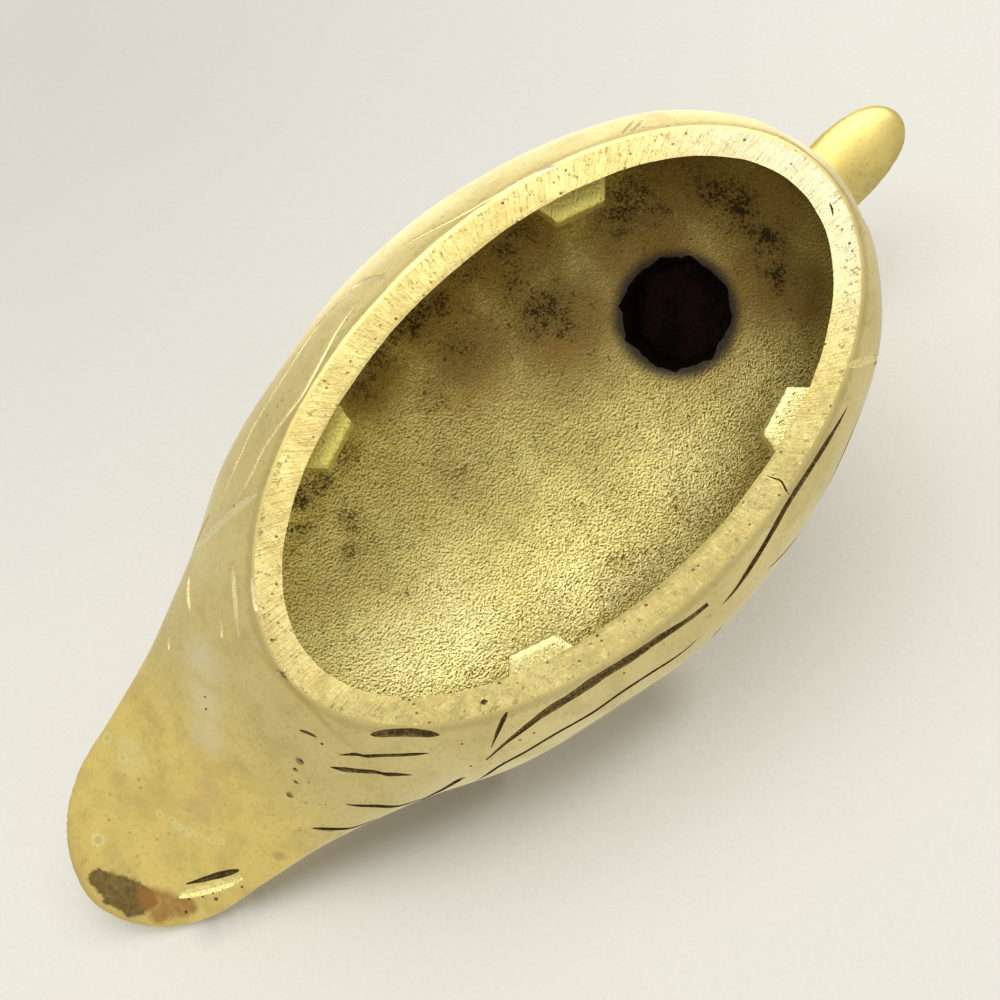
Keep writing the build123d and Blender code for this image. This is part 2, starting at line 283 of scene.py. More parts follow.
# The duck's shape rule: smooth columns of the tables, and rings across the duck.
def smooth(rows, share, column):
    turns = np.arccos(1 - 2 * np.array([row[0] for row in rows]))
    values = np.array([row[column] for row in rows])
    turn = np.arccos(1 - 2 * np.clip(share, 0, 1))
    count = np.arange(len(rows))
    before, after = np.maximum(count - 1, 0), np.minimum(count + 1, len(rows) - 1)
    slopes = (values[after] - values[before]) / (turns[after] - turns[before])
    i = np.clip(np.searchsorted(turns, turn) - 1, 0, len(rows) - 2)
    span = turns[i + 1] - turns[i]
    t = (turn - turns[i]) / span
    rise = values[i] * (1 + 2 * t) * (1 - t) ** 2 + slopes[i] * span * t * (1 - t) ** 2
    return rise + values[i + 1] * t * t * (3 - 2 * t) - slopes[i + 1] * span * t * t * (1 - t)


def bodyColumn(y, column):
    return smooth(bodyShares, (y + breastReach) / bodyLength, column)


def keelBetween(y, halfLength):
    return -body["keelDrop"] * (1 - (np.abs(y) / halfLength) ** 6)


# lowest line of the uncut body: it dips below the rim's plane, and rises ahead of the rim and behind it
def keelHeight(y):
    behind = tailUnder * smooth(tailUnderShares, np.clip((y - rimLength) / body["tailLength"], 0, 1), 1)
    past = np.clip((-y - rimLength) / body["breastOverhang"], 0, 1)
    ahead = backHeight * bodyShares[0][2] * (1 - np.sqrt(1 - past))
    return np.where(y > rimLength, behind, np.where(y < -rimLength, ahead, keelBetween(y, rimLength)))


def ovalWidth(y, halfLength, halfWidth):
    return halfWidth * np.sqrt(np.maximum(1 - (y / halfLength) ** 2, 0))


# power of a ring's lower half that makes it pass through an oval at the rim's level
def lowerPower(y, width, girth, keel, halfLength, halfWidth):
    across = np.clip(ovalWidth(y, halfLength, halfWidth) / width, 0.001, 0.999)
    down = np.clip(girth / (girth - keel), 0, 0.9999)
    low, high = np.full_like(across, 1.0), np.full_like(across, 8.0)
    for halving in range(40):
        middle = (low + high) / 2
        wide = across ** middle + down ** middle > 1
        low, high = np.where(wide, middle, low), np.where(wide, high, middle)
    return low


def fullTurn(count):
    return 2 * math.pi * np.arange(count) / count


def ringGrid(y, halfWidth, top, widest, bottom, above, below, points):
    angle = fullTurn(points)
    c, s = np.cos(angle)[None], np.sin(angle)[None]
    columns = (y, halfWidth, top, widest, bottom, above, below)
    y, halfWidth, top, widest, bottom, above, below = (np.broadcast_to(v, len(y))[:, None] for v in columns)
    power = np.where(s >= 0, above, below)
    rise = np.where(s >= 0, top - widest, widest - bottom)
    x = halfWidth * np.sign(c) * np.abs(c) ** (2 / power)
    z = widest + rise * np.sign(s) * np.abs(s) ** (2 / power)
    return np.stack([x, np.broadcast_to(y, x.shape), z], 2)


# shares of a form's length, closer together toward its rounded ends
def evenTurns(count):
    shares = (1 - np.cos(math.pi * np.arange(count + 1) / count)) / 2
    shares[0], shares[-1] = 0.0002, 0.9998
    return shares


def outerRings():
    count, around = fineness["body"]
    y = -breastReach + bodyLength * evenTurns(count)
    width, girth, keel = bodyWidth * bodyColumn(y, 1), backHeight * bodyColumn(y, 3), keelHeight(y)
    overTail = np.clip((y - rimLength) / body["tailLength"], 0, 1)
    above = body["squareness"] + body["tailSquarer"] * overTail
    pastRim = above - 0.3 * (1 - np.clip((np.abs(y) - rimLength) / 12, 0, 1)) ** 2
    inRim = np.abs(y) < rimLength
    below = np.where(inRim, lowerPower(y, width, girth, keel, rimLength, rimWidth), pastRim)
    rings = ringGrid(y, width, backHeight * bodyColumn(y, 2), girth, keel, above, below, around)
    along = np.clip((rings[..., 1] - rimLength * 0.6) / (tailReach - rimLength * 0.6), 0, 1)
    rings[..., 0] += body["tailLean"] * along ** 1.6
    return rings


def hollowRings():
    front, rear = -breastReach + body["sideWall"], rimLength + body["hollowPastRim"]
    count, around = fineness["hollow"]
    share = evenTurns(count)
    y = front + (rear - front) * share
    closing = (1 - np.abs(2 * share - 1) ** 5) ** 0.2
    width = (bodyWidth * bodyColumn(y, 1) - body["sideWall"]) * closing
    girth = backHeight * bodyColumn(y, 3)
    top = girth + (backHeight * bodyColumn(y, 2) - body["roofWall"] - girth) * closing
    inRim = np.abs(y) < openLength
    past = np.clip((np.abs(y) - openLength) / (np.where(y < 0, -front, rear) - openLength), 0, 1)
    keel = np.where(inRim, keelBetween(y, openLength), girth * (1 - np.sqrt(1 - past)))
    above = body["squareness"]
    below = np.where(inRim, lowerPower(y, width, girth, keel, openLength, openWidth), above)
    return ringGrid(y, width, top, girth, keel, above, below, around)


def headPlace(share):
    return -head["billReach"] + head["length"] * (1 - share)


def headHeight(share):
    return head["lowHeight"] + head["height"] * share


def headRings():
    count, around = fineness["head"]
    share, power = evenTurns(count), head["squareness"]
    top, under, widest = (headHeight(smooth(headShares, share, k)) for k in (2, 3, 4))
    halfWidth = head["halfWidth"] * smooth(headShares, share, 1)
    return ringGrid(headPlace(share), halfWidth, top, widest, under, power, power, around)


# Solids from rings, and the steps that join them. A piece's walls keep their own finish through
# every cut, because each solid names the place of its finish in the shared list.
def faceOutward(mesh):
    work = bmesh.new()
    work.from_mesh(mesh)
    bmesh.ops.recalc_face_normals(work, faces=work.faces)
    if work.calc_volume(signed=True) < 0:
        bmesh.ops.reverse_faces(work, faces=work.faces)
    work.to_mesh(mesh)
    work.free()


def giveFinishes(target, finishes, finish=0):
    target.data.materials.clear()
    for item in finishes:
        target.data.materials.append(item)
    for polygon in target.data.polygons:
        polygon.material_index, polygon.use_smooth = finish, True


def solidObject(name, points, faces, finish=0, finishes=()):
    mesh = bpy.data.meshes.new(name)
    mesh.from_pydata(place(points).tolist(), [], faces)
    faceOutward(mesh)
    made = addObject(name, mesh)
    giveFinishes(made, finishes, finish)
    return made


def ringSolid(name, rings, finish=0, finishes=(), closed=False):
    rings = np.stack(rings)
    count, around = rings.shape[:2]
    faces = [[i * around + j, i * around + (j + 1) % around,
              (i + 1) % count * around + (j + 1) % around, (i + 1) % count * around + j]
             for i in range(count if closed else count - 1) for j in range(around)]
    if not closed:
        faces += [list(range(around)), [(count - 1) * around + j for j in range(around)]]
    return solidObject(name, rings, faces, finish, finishes)


def combine(target, tool, operation):
    step = target.modifiers.new("combine", "BOOLEAN")
    step.operation, step.object, step.solver = operation, tool, "MANIFOLD"
    settle(target)
    bpy.data.objects.remove(tool)
    return target


def copyOf(source, name):
    made = source.copy()
    made.data, made.name = source.data.copy(), name
    scene.collection.objects.link(made)
    return made


def surfaceOf(target):
    target.data.calc_loop_triangles()
    corners = [vertex.co.copy() for vertex in target.data.vertices]
    return BVHTree.FromPolygons(corners, [tuple(t.vertices) for t in target.data.loop_triangles])


def coordinates(target):
    found = np.empty(len(target.data.vertices) * 3)
    target.data.vertices.foreach_get("co", found)
    return found.reshape(-1, 3)


def addRemesh(target, voxel):
    step = target.modifiers.new("remesh", "REMESH")
    step.mode, step.voxel_size, step.use_smooth_shade = "VOXEL", voxel * mm, True


# One even skin over two joined forms, kept on them except where the join is softened
def evenSkin(name, parts, voxel, reach):
    form = copyOf(parts[0], "joinedForm")
    combine(form, copyOf(parts[1], "joinedTool"), "UNION")
    skin = copyOf(form, name)
    addRemesh(skin, voxel)
    step = skin.modifiers.new("wrap", "SHRINKWRAP")
    step.wrap_method, step.wrap_mode, step.target = "NEAREST_SURFACEPOINT", "ON_SURFACE", form
    settle(skin)
    points = coordinates(skin)
    first, second = (surfaceOf(part) for part in parts)
    gaps = np.array([max(first.find_nearest(p)[3], second.find_nearest(p)[3]) for p in map(Vector, points)])
    weight = np.clip(1.5 - gaps / (reach * mm), 0, 1)[:, None]
    rounds, pull = 24, 0.6
    edges = np.empty(len(skin.data.edges) * 2, int)
    skin.data.edges.foreach_get("vertices", edges)
    a, b = edges.reshape(-1, 2).T
    links = np.bincount(np.concatenate([a, b]), minlength=len(points))[:, None]
    for smoothing in range(rounds):
        total = np.zeros_like(points)
        np.add.at(total, a, points[b])
        np.add.at(total, b, points[a])
        points += (total / links - points) * weight * pull
    skin.data.vertices.foreach_set("co", points.ravel())
    skin.data.update()
    for temporary in (*parts, form):
        bpy.data.objects.remove(temporary)
    return skin


# Unevenness of a cast and hand-finished surface, always inward
lumpTree = ShapeTree("unevenSurface", {
    "Depth": ("Float", 0.0002), "Scale": ("Float", 80.0), "Seed": ("Float", 0.0),
    "Material": ("Material", None),
})
lumps = lumpTree.node("ShaderNodeTexNoise", {"noise_dimensions": "4D"}, {
    "W": lumpTree.input("Seed"), "Scale": lumpTree.input("Scale"), "Detail": 2.0, "Roughness": 0.45,
})
inward = lumpTree.node("ShaderNodeVectorMath", {"operation": "SCALE"}, {
    0: lumpTree.node("GeometryNodeInputNormal"), "Scale": lumps * lumpTree.input("Depth") * -1.0,
})
lumpTree.finish(lumpTree.node("GeometryNodeSetPosition", values={
    "Geometry": lumpTree.input("Geometry"), "Offset": inward,
}))

# Cutting tool: a round bar that follows a line, as wide as the line's own attribute says
tool = {"sides": 8, "spacing": 0.55, "leastShare": 0.08}
cutterTree = ShapeTree("cuttingTool", {
    "Sides": ("Int", tool["sides"]), "Material": ("Material", None),
})
toolLine = cutterTree.node("GeometryNodeMeshToCurve", values={"Mesh": cutterTree.input("Geometry")})
toolReach = cutterTree.node("GeometryNodeInputNamedAttribute", {"data_type": "FLOAT"}, {
    "Name": "toolReach"})
toolSection = cutterTree.node("GeometryNodeCurvePrimitiveCircle", values={
    "Resolution": cutterTree.input("Sides"), "Radius": 1.0,
})
cutterTree.finish(cutterTree.node("GeometryNodeCurveToMesh", values={
    "Curve": toolLine, "Profile Curve": toolSection, "Scale": toolReach, "Fill Caps": True,
}))


def sightThrough(pixel):
    across, down = ((v - camera["pictureSide"] / 2) / camera["focalPixels"] for v in pixel)
    return lookAxis + rightAxis * across - upAxis * down


# first point of a surface along a line of sight, which leans to the rim's middle if it misses
def castPixel(pixel, surface):
    for share in np.arange(60) * 0.004:
        leaning = [v + (middle - v) * share for v, middle in zip(pixel, camera["rimMiddle"])]
        found = surface.ray_cast(cameraPlace, sightThrough(leaning).normalized())[0]
        if found is not None:
            return found
    raise ValueError(f"pixel {pixel} misses the duck")


# point of a surface that a pixel shows, or that is met straight in from one side of the duck
def castFrom(side, at, surface):
    if side == "photo":
        return castPixel(at, surface)
    start, way = {
        "left": ((200, *at), (-1, 0, 0)),
        "right": ((-200, *at), (1, 0, 0)),
        "top": ((*at, 200), (0, 0, -1)),
    }[side]
    return surface.ray_cast(Vector(place(start)[0]), Vector(way))[0]


# evenly spaced points of a smooth line that passes through the given ones
def threadThrough(points, spacing, closed=False):
    points = np.asarray(points, float)
    if closed:
        padded = np.concatenate([points[-1:], points, points[:2]])
    else:
        padded = np.concatenate([2 * points[:1] - points[1:2], points, 2 * points[-1:] - points[-2:-1]])
    t = np.linspace(0, 1, 16, endpoint=False)[:, None]
    pieces = []
    for a, b, c, d in zip(padded, padded[1:], padded[2:], padded[3:]):
        square, cube = 2 * a - 5 * b + 4 * c - d, 3 * b - a - 3 * c + d
        pieces.append(0.5 * (2 * b + (c - a) * t + square * t ** 2 + cube * t ** 3))
    line = np.concatenate(pieces + [padded[-2:-1]])
    length = np.concatenate([[0], np.cumsum(np.linalg.norm(np.diff(line, axis=0), axis=1))])
    count = max(int(length[-1] / spacing), 4)
    wanted = np.linspace(0, length[-1], count + 1)[: count if closed else count + 1]
    return np.stack([np.interp(wanted, length, line[:, k]) for k in range(line.shape[1])], 1)


# Line of a cut on a surface: its points, the surface's normals there and the tool's reach
def cutLine(points, width, depth, surface, taper=0.18, closed=False, shape=None, seed=0):
    line = threadThrough([tuple(p) for p in points], tool["spacing"] * mm, closed)
    found = [surface.find_nearest(Vector(p)) for p in line]
    share = np.linspace(0, 1, len(line))
    if closed:
        size = np.ones(len(line))
    elif shape:
        size = np.interp(share, [s[0] for s in shape], [s[1] for s in shape])
    else:
        size = np.minimum(1, np.minimum(share, 1 - share) / taper) ** 0.6
    # a tool held by hand wavers a little
    slow, quick = np.sin(share * len(line) * 0.5 + seed * 2.1), np.sin(share * len(line) * 1.1 + seed)
    chatter = 1 + 0.05 * slow + 0.03 * quick
    size = np.maximum(size * chatter, tool["leastShare"])
    half = width / 2
    radius = (half * half + depth * depth) / (2 * depth)
    lift = radius - depth
    centres = [tuple(f[0] + f[1] * (lift * s * mm)) for f, s in zip(found, size)]
    return centres, radius * size * mm, closed


# lines of a table's cuts, found from the camera or from one side of the duck
def linesOf(cuts, side, surface, taper=0.18, seeded=True):
    made = []
    for number, (width, depth, places, *shape) in enumerate(cuts):
        points = [castFrom(side, at, surface) for at in places]
        made.append(cutLine(points, width, depth, surface, taper, shape=shape[0] if shape else None,
                            seed=number if seeded else 0))
    return made


# One tool out of many lines that don't touch one another, and its cut
def engrave(target, name, lines, finish, finishes):
    points, reach, edges = [], [], []
    for centres, radius, closed in lines:
        first = len(points)
        points += centres
        reach += list(radius)
        edges += [(first + i, first + i + 1) for i in range(len(centres) - 1)]
        if closed:
            edges.append((len(points) - 1, first))
    mesh = bpy.data.meshes.new(name)
    mesh.from_pydata(points, edges, [])
    toolReaches = mesh.attributes.new("toolReach", "FLOAT", "POINT").data
    toolReaches.foreach_set("value", np.array(reach, np.float32))
    made = addObject(name, mesh)
    cutterTree.run(made, Sides=tool["sides"], Material=finishes[finish])
    faceOutward(made.data)
    giveFinishes(made, finishes, finish)
    combine(target, made, "DIFFERENCE")


# Cuts seen in the photograph: width and depth in millimetres, pixels along the cut and, where it
# has a form of its own, shares of its length with shares of its size
seenCuts = [
    # long feather lines behind the middle of the left side
    (2.1, 1.0, [(486, 760), (507, 742), (542, 715), (572, 696), (603, 675), (634, 656), (660, 638),
                (689, 619), (708, 604)],
     [(0, 0.15), (0.12, 0.4), (0.35, 0.9), (0.5, 1), (0.7, 0.85), (0.88, 0.6), (1, 0.45)]),
    (0.9, 0.65, [(473, 782), (498, 767), (527, 751), (557, 733), (592, 713), (622, 692), (651, 673),
                 (680, 654), (700, 637)]),
    (0.7, 0.5, [(565, 749), (595, 728), (622, 709), (642, 695), (668, 676)]),
    # their front partners
    (1.3, 0.75, [(722, 605), (735, 590), (748, 571), (770, 535), (790, 500), (822, 450), (848, 406)]),
    (0.9, 0.6, [(768, 569), (800, 532), (820, 504), (845, 455), (861, 410)]),
    (0.95, 0.6, [(507, 712), (499, 729), (491, 748)],
     [(0, 0.35), (0.15, 0.95), (0.5, 0.75), (1, 0.15)]),
    # long pale lines of the right side, from the rear to the breast
    (1.0, 0.5, [(221, 502), (236, 464), (255, 423), (275, 390), (296, 357), (314, 330), (329, 313),
                (342, 299), (352, 288)]),
    (0.8, 0.4, [(233, 508), (249, 478), (262, 451), (274, 432), (289, 412), (304, 391), (323, 356),
                (337, 330), (355, 305)]),
    (1.3, 0.6, [(388, 280), (374, 278), (362, 282), (352, 288)]),
    (0.8, 0.45, [(386, 259), (400, 248), (423, 234), (451, 220), (476, 206), (497, 194), (528, 176),
                 (560, 164), (592, 155)]),
    (1.9, 0.6, [(196, 546), (212, 531), (230, 514), (258, 494)]),
    (1.0, 0.55, [(645, 119), (638, 126), (630, 133)]),
    (0.7, 0.45, [(635, 120), (628, 127), (621, 135)]),
    # short strokes on both flanks of the rump
    (1.9, 0.95, [(370, 735), (392, 733), (415, 733), (440, 735)]),
    (0.9, 0.6, [(340, 755), (370, 756), (400, 755), (430, 753)]),
    (1.1, 0.7, [(330, 767), (360, 771), (385, 774), (413, 775)]),
    (1.0, 0.65, [(345, 804), (375, 806), (403, 805), (430, 800)]),
    (1.0, 0.6, [(311, 828), (335, 829), (355, 827), (376, 823)]),
    (0.6, 0.4, [(299, 730), (308, 733), (317, 737)]),
    (1.2, 0.5, [(233, 566), (234, 590), (236, 614), (239, 637)]),
    (1.1, 0.5, [(252, 577), (254, 595), (257, 614)]),
    (0.9, 0.45, [(189, 576), (188, 593), (190, 611)]),
    (0.8, 0.4, [(171, 627), (169, 639), (169, 650)]),
    (0.6, 0.35, [(220, 617), (221, 627), (222, 638)]),
]
# gouge under the tail, bright and wide with a dark deep side, and a bright cut before the wing
gougeCuts = [
    (2.4, 0.6, [(178, 896), (194, 892), (212, 887), (229, 882), (242, 877)],
     [(0, 0.4), (0.2, 0.8), (0.5, 1), (0.8, 0.9), (1, 0.5)]),
    (1.2, 0.9, [(186, 884), (198, 881), (212, 877), (227, 873), (239, 870)],
     [(0, 0.2), (0.3, 0.8), (0.6, 1), (0.85, 1), (1, 0.4)]),
    (1.5, 0.45, [(843, 367), (858, 363), (876, 356)],
     [(0, 0.5), (0.4, 1), (1, 0.7)]),
]
# small pits: pixel and radius
seenPits = [
    ((624, 673), 0.28), ((534, 733), 0.35), ((520, 740), 0.28), ((462, 744), 0.25), ((471, 766), 0.25),
    ((464, 778), 0.3), ((301, 761), 0.55), ((295, 769), 0.35), ((296, 782), 0.6), ((289, 796), 0.45),
    ((322, 744), 0.3), ((285, 677), 0.9), ((189, 899), 0.3), ((203, 897), 0.25), ((222, 889), 0.3),
    ((232, 884), 0.22), ((213, 893), 0.2),
]

# marks on the filed rim, written like the cuts
rimMarks = [
    (0.34, 0.35, [(765, 475), (773, 478), (781, 481), (786, 490), (790, 499)]),
    (0.40, 0.30, [(829, 202), (832, 209), (833, 217)]),
    (1.5, 0.55, [(276, 672), (281, 674), (286, 677)]),
    (0.9, 0.30, [(480, 703), (484, 702), (488, 701)]),
]

# Cuts on the sides that the photograph doesn't show: Y and Z on the left side, mirrored to the right
wingEdge = [(-42.5, 8), (-45, 15), (-44, 24), (-38, 31), (-26, 35), (-8, 37.5), (12, 38.5), (32, 37.5),
            (48, 35), (60, 32.5), (68, 31.5)]
wingRear = [(66, 29.5), (60, 25), (54, 19.5), (49, 14)]
hiddenCuts = [
    (0.8, 0.5, [(-40, 15), (-26, 18), (-10, 18.5), (1, 17)]),
    (0.9, 0.55, [(-39, 21.5), (-25, 25), (-10, 25.5), (3, 24)]),
    (0.9, 0.55, [(-35, 27), (-22, 30.5), (-8, 31.5), (5, 30.5)]),
    (0.9, 0.55, [(7, 20), (22, 21.5), (38, 22), (53, 22.5)]),
    (1.0, 0.6, [(8, 26.5), (24, 28), (42, 28), (59, 27)]),
    (0.9, 0.55, [(9, 32.5), (26, 33.5), (44, 32), (62, 30)]),
]
# ends of the wing's two tiers, and strokes over the rump
shortCuts = [(0.9, 0.5, line) for line in (
    [(2.5, 12), (5.5, 15.5), (4.5, 19)], [(3.5, 20), (7, 23), (5.5, 26.5)],
    [(5, 27.5), (8.5, 30), (7.5, 34)],
    [(60, 38), (66, 37.2)], [(64, 34.3), (70, 33.8)], [(70, 37.3), (76, 36.8)],
)]
wingCuts = [(1.3, 0.7, line) for line in (wingEdge, wingRear)]
# strokes on top, X and Y: rows across the rump, then long lines that spread over the tail
topCuts = [
    (0.9, 0.5, [(x, 50 + abs(x) * 0.35), (x, 57 + abs(x) * 0.3)])
    for x in (-9, -3, 3, 9)
] + [
    (0.9, 0.5, [(x, 60 + abs(x) * 0.35), (x, 66 + abs(x) * 0.3)])
    for x in (-12, -6, 0, 6, 12)
] + [
    (1.0, 0.55, [(x * 0.62, 74), (x * 0.85, 87), (x, 101)])
    for x in (-12.5, -7.5, -2.5, 2.5, 7.5, 12.5)
]

# Seat of the neck: a plane that leans forward over the back
tilt = math.radians(neck["seatTilt"])
seatUp = np.array([0, -math.sin(tilt), math.cos(tilt)])
seatAcross = np.array([0, math.cos(tilt), math.sin(tilt)])
seatMiddle = np.array([0, neck["seatY"], backHeight * float(bodyColumn(np.array([neck["seatY"]]), 2)[0])])
seatMiddle = seatMiddle + seatUp * neck["seatRise"]


def circleOn(middle, lean, radius, count=96):
    turn = fullTurn(count)
    across = np.array([0, math.cos(lean), math.sin(lean)])
    return middle + np.outer(radius * np.cos(turn), (1, 0, 0)) + np.outer(radius * np.sin(turn), across)


# Solid turned about the seat's axis: radius and height of each ring
def turnedOnSeat(name, outline, finish=0, finishes=()):
    rings = [circleOn(seatMiddle + seatUp * height, tilt, radius) for radius, height in outline]
    return ringSolid(name, rings, finish, finishes)


# what clears one side of the seat, as far as the bevel that the filler metal sits in
def seatCutter(name, way, finish, finishes):
    flat, past, high, axis = neck["radius"] - neck["bevel"], 17, 8, 0.01
    outline = [(axis, 0), (flat, 0), (past, way * (flat - past)), (past, way * high), (axis, way * high)]
    return turnedOnSeat(name, outline, finish, finishes)


# the foot flares from the seat's edge down to the back, and runs on past the seat and under the skin
def footOutline():
    t = np.linspace(1, 0, 18)
    pull, sunk, inset, over = 12, 5, 0.8, 2.0
    start, end = (neck["radius"], -neck["bevel"]), (neck["flareRadius"], -neck["flareDepth"])
    ways = ((0.243, -0.97), (0.876, -0.482))
    radius, height = (
        (1 + 2 * t) * (1 - t) ** 2 * start[k] + t * (1 - t) ** 2 * pull * ways[0][k]
        + t * t * (3 - 2 * t) * end[k] - t * t * (1 - t) * pull * ways[1][k] for k in (0, 1)
    )
    return [(end[0], end[1] - sunk)] + list(zip(radius, height)) + [(start[0] - inset, over)]


def openingSolid(finish, finishes):
    around = 90
    turn = fullTurn(around)
    corners = np.array([row[0] for row in openingShares]) * 2 * math.pi
    reach = np.array([row[1] for row in openingShares])
    flat = np.stack([reach * np.cos(corners), reach * np.sin(corners)], 1)
    closed = np.concatenate([flat, flat[:1]])
    steps = np.linspace(0, len(flat), around, endpoint=False)
    i = steps.astype(int)
    flat = closed[i] + (closed[i + 1] - closed[i]) * (steps - i)[:, None]
    rough = 1 + 0.016 * np.sin(turn * 7 + 1) + 0.012 * np.sin(turn * 17 + 2) + 0.008 * np.sin(turn * 31)
    rings = []
    levels = [(-16, 1.1), (-8.6, 1.06), (-7.2, 1.02), (-5.5, 1.0), (-2.5, 0.985), (2, 0.99), (6, 0.99)]
    for height, widen in levels:
        radius = neck["openingRadius"] * widen * rough * 0.96
        across, along = (flat[:, k] * radius + neck["openingShift"][k] for k in (0, 1))
        middle = seatMiddle + seatUp * height
        rings.append(middle + np.outer(across, (1, 0, 0)) + np.outer(along, seatAcross))
    return ringSolid("neckOpening", rings, finish, finishes)


# The rim is filed flat, and its outer edge rolls over softly
def rimCutter(finish, finishes):
    turn = fullTurn(420)
    rows = [(-30, 0), (-0.75, 0), (-0.35, 0.04), (-0.05, 0.13), (0.2, 0.25), (0.5, 0.44), (0.8, -0.5),
            (90, -0.5), (90, -20)]
    rings = []
    for out, high in rows:
        x, y = (rimWidth + out) * np.cos(turn), (rimLength + out) * np.sin(turn)
        rings.append(np.stack([x, y, 0 * turn + high], 1))
    return ringSolid("underRim", rings, finish, finishes)


ledge = {"spacing": 54.0, "length": 11.5, "reach": 3.2, "root": 3.2, "recess": 4.5, "thickness": 5.0,
         "voxel": 0.55}


def ledgeSolid(side, end, finish, finishes):
    half, corner = ledge["length"] / 2, ledge["reach"] / 2
    outline = [(ledge["root"], -half - corner), (0, -half), (-ledge["reach"], -half + corner),
               (-ledge["reach"], half - corner), (0, half), (ledge["root"], half + corner)]
    y = end * ledge["spacing"] / 2
    x = side * float(ovalWidth(np.array(y), openLength, openWidth))
    slope = math.atan2(y / openLength ** 2, x / openWidth ** 2)
    outward = np.array([math.cos(slope), math.sin(slope), 0])
    along = np.array([-math.sin(slope), math.cos(slope), 0])
    low = np.array([np.array([x, y, ledge["recess"]]) + outward * a + along * b for a, b in outline])
    made = ringSolid("ledge", [low, low + (0, 0, ledge["thickness"])], finish, finishes)
    addRemesh(made, ledge["voxel"])
    step = made.modifiers.new("soften", "SMOOTH")
    step.factor, step.iterations = 0.5, 2
    settle(made)
    giveFinishes(made, finishes, finish)
    return made


def unevenly(target, lumpShape, seed, finishes, finish=0):
    depth, width = lumpShape
    lumpTree.run(target, Depth=depth * mm, Scale=1 / (width * mm), Seed=seed, Material=finishes[finish])
    giveFinishes(target, finishes, finish)
    return target


sharpAngle = math.radians(38)


def makePiece(target, node):
    target.data.set_sharp_from_angle(angle=sharpAngle)
    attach(target, "root")
    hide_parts(node)
    print("stage:", target.name, sum(len(p.vertices) - 2 for p in target.data.polygons), "triangles")


outside, filedRim, castWall, cutGroove, sootedEdge, castLedge = range(6)
bodyFinishes = [bpy.data.materials.new(name) for name in (
    "agedBrass", "filedRim", "castWall", "cutGroove", "sootedEdge", "castLedge")]

# Body: even skin over shell and neck foot, then every cut into it
outer = ringSolid("outerForm", outerRings())
foot = turnedOnSeat("neckFoot", footOutline())
casting = evenSkin("bodyCasting", (outer, foot), body["voxel"], body["softJoin"])
unevenly(casting, body["handLumps"], 3.0, bodyFinishes)
unevenly(casting, body["fileLumps"], 5.0, bodyFinishes)
skinSurface = surfaceOf(casting)
print("stage: body skin")

lines, outlines = linesOf(seenCuts, "photo", skinSurface), []
for side in ("left", "right"):
    lines += linesOf(hiddenCuts, side, skinSurface)
    lines += linesOf(shortCuts, side, skinSurface, taper=0.3, seeded=False)
    outlines += linesOf(wingCuts, side, skinSurface, taper=0.08, seeded=False)
lines += linesOf(topCuts, "top", skinSurface, taper=0.3, seeded=False)
engrave(casting, "featherCuts", lines, cutGroove, bodyFinishes)
engrave(casting, "wingOutlines", outlines, cutGroove, bodyFinishes)
for line, finish in zip(linesOf(gougeCuts, "photo", skinSurface), (castLedge, cutGroove, castLedge)):
    engrave(casting, "gouge", [line], finish, bodyFinishes)
pitCuts = [(radius * 2, radius * 0.8, [(x + step, y - step) for step in (-0.8, 0.8)])
           for (x, y), radius in seenPits]
pits = linesOf(pitCuts, "photo", skinSurface, taper=0.4, seeded=False)
engrave(casting, "pits", pits, cutGroove, bodyFinishes)
print("stage: feather cuts")

combine(casting, rimCutter(outside, bodyFinishes), "DIFFERENCE")
rimSurface = surfaceOf(casting)
marks = linesOf(rimMarks, "photo", rimSurface, taper=0.4, seeded=False)
engrave(casting, "rimMarks", marks, cutGroove, bodyFinishes)
hollow = ringSolid("hollow", hollowRings(), castWall, bodyFinishes)
unevenly(hollow, body["castLumps"], 9.0, bodyFinishes, castWall)
combine(casting, hollow, "DIFFERENCE")
combine(casting, openingSolid(sootedEdge, bodyFinishes), "DIFFERENCE")
combine(casting, seatCutter("seatCut", 1, outside, bodyFinishes), "DIFFERENCE")
for side in (-1, 1):
    for end in (-1, 1):
        combine(casting, ledgeSolid(side, end, castLedge, bodyFinishes), "UNION")
for polygon in casting.data.polygons:
    if abs(polygon.normal.z) > 0.9999 and abs(polygon.center.z) < 0.005 * mm:
        polygon.material_index, polygon.use_smooth = filedRim, False
makePiece(casting, "body_shell")


# Head: neck and head under one even skin
widestRow = headShares[4]
headMiddle = np.array([0, headPlace(widestRow[0]), headHeight(widestRow[4])])


# the rings' tilts are kept in tens of degrees, so that they weigh little in the even spacing
def neckForm(name, inset, start):
    way = headMiddle - seatMiddle
    base = seatMiddle + seatUp * start
    rows = [(base[1], base[2], neck["radius"] - inset, neck["seatTilt"] / 10)]
    for forward, rise, radius, lean in neckShares:
        rows.append((seatMiddle[1] + way[1] * forward, seatMiddle[2] + way[2] * rise,
                     neck["radius"] * radius - inset, 9 * lean))
    rings = [circleOn(np.array([0, y, z]), math.radians(lean * 10), radius)
             for y, z, radius, lean in threadThrough(rows, 0.9)]
    return ringSolid(name, rings)


def ballAt(name, middle, radius):
    work = bmesh.new()
    bmesh.ops.create_icosphere(work, subdivisions=4, radius=radius)
    points = [tuple(np.array(v.co) + middle) for v in work.verts]
    faces = [[v.index for v in f.verts] for f in work.faces]
    work.free()
    return solidObject(name, points, faces)


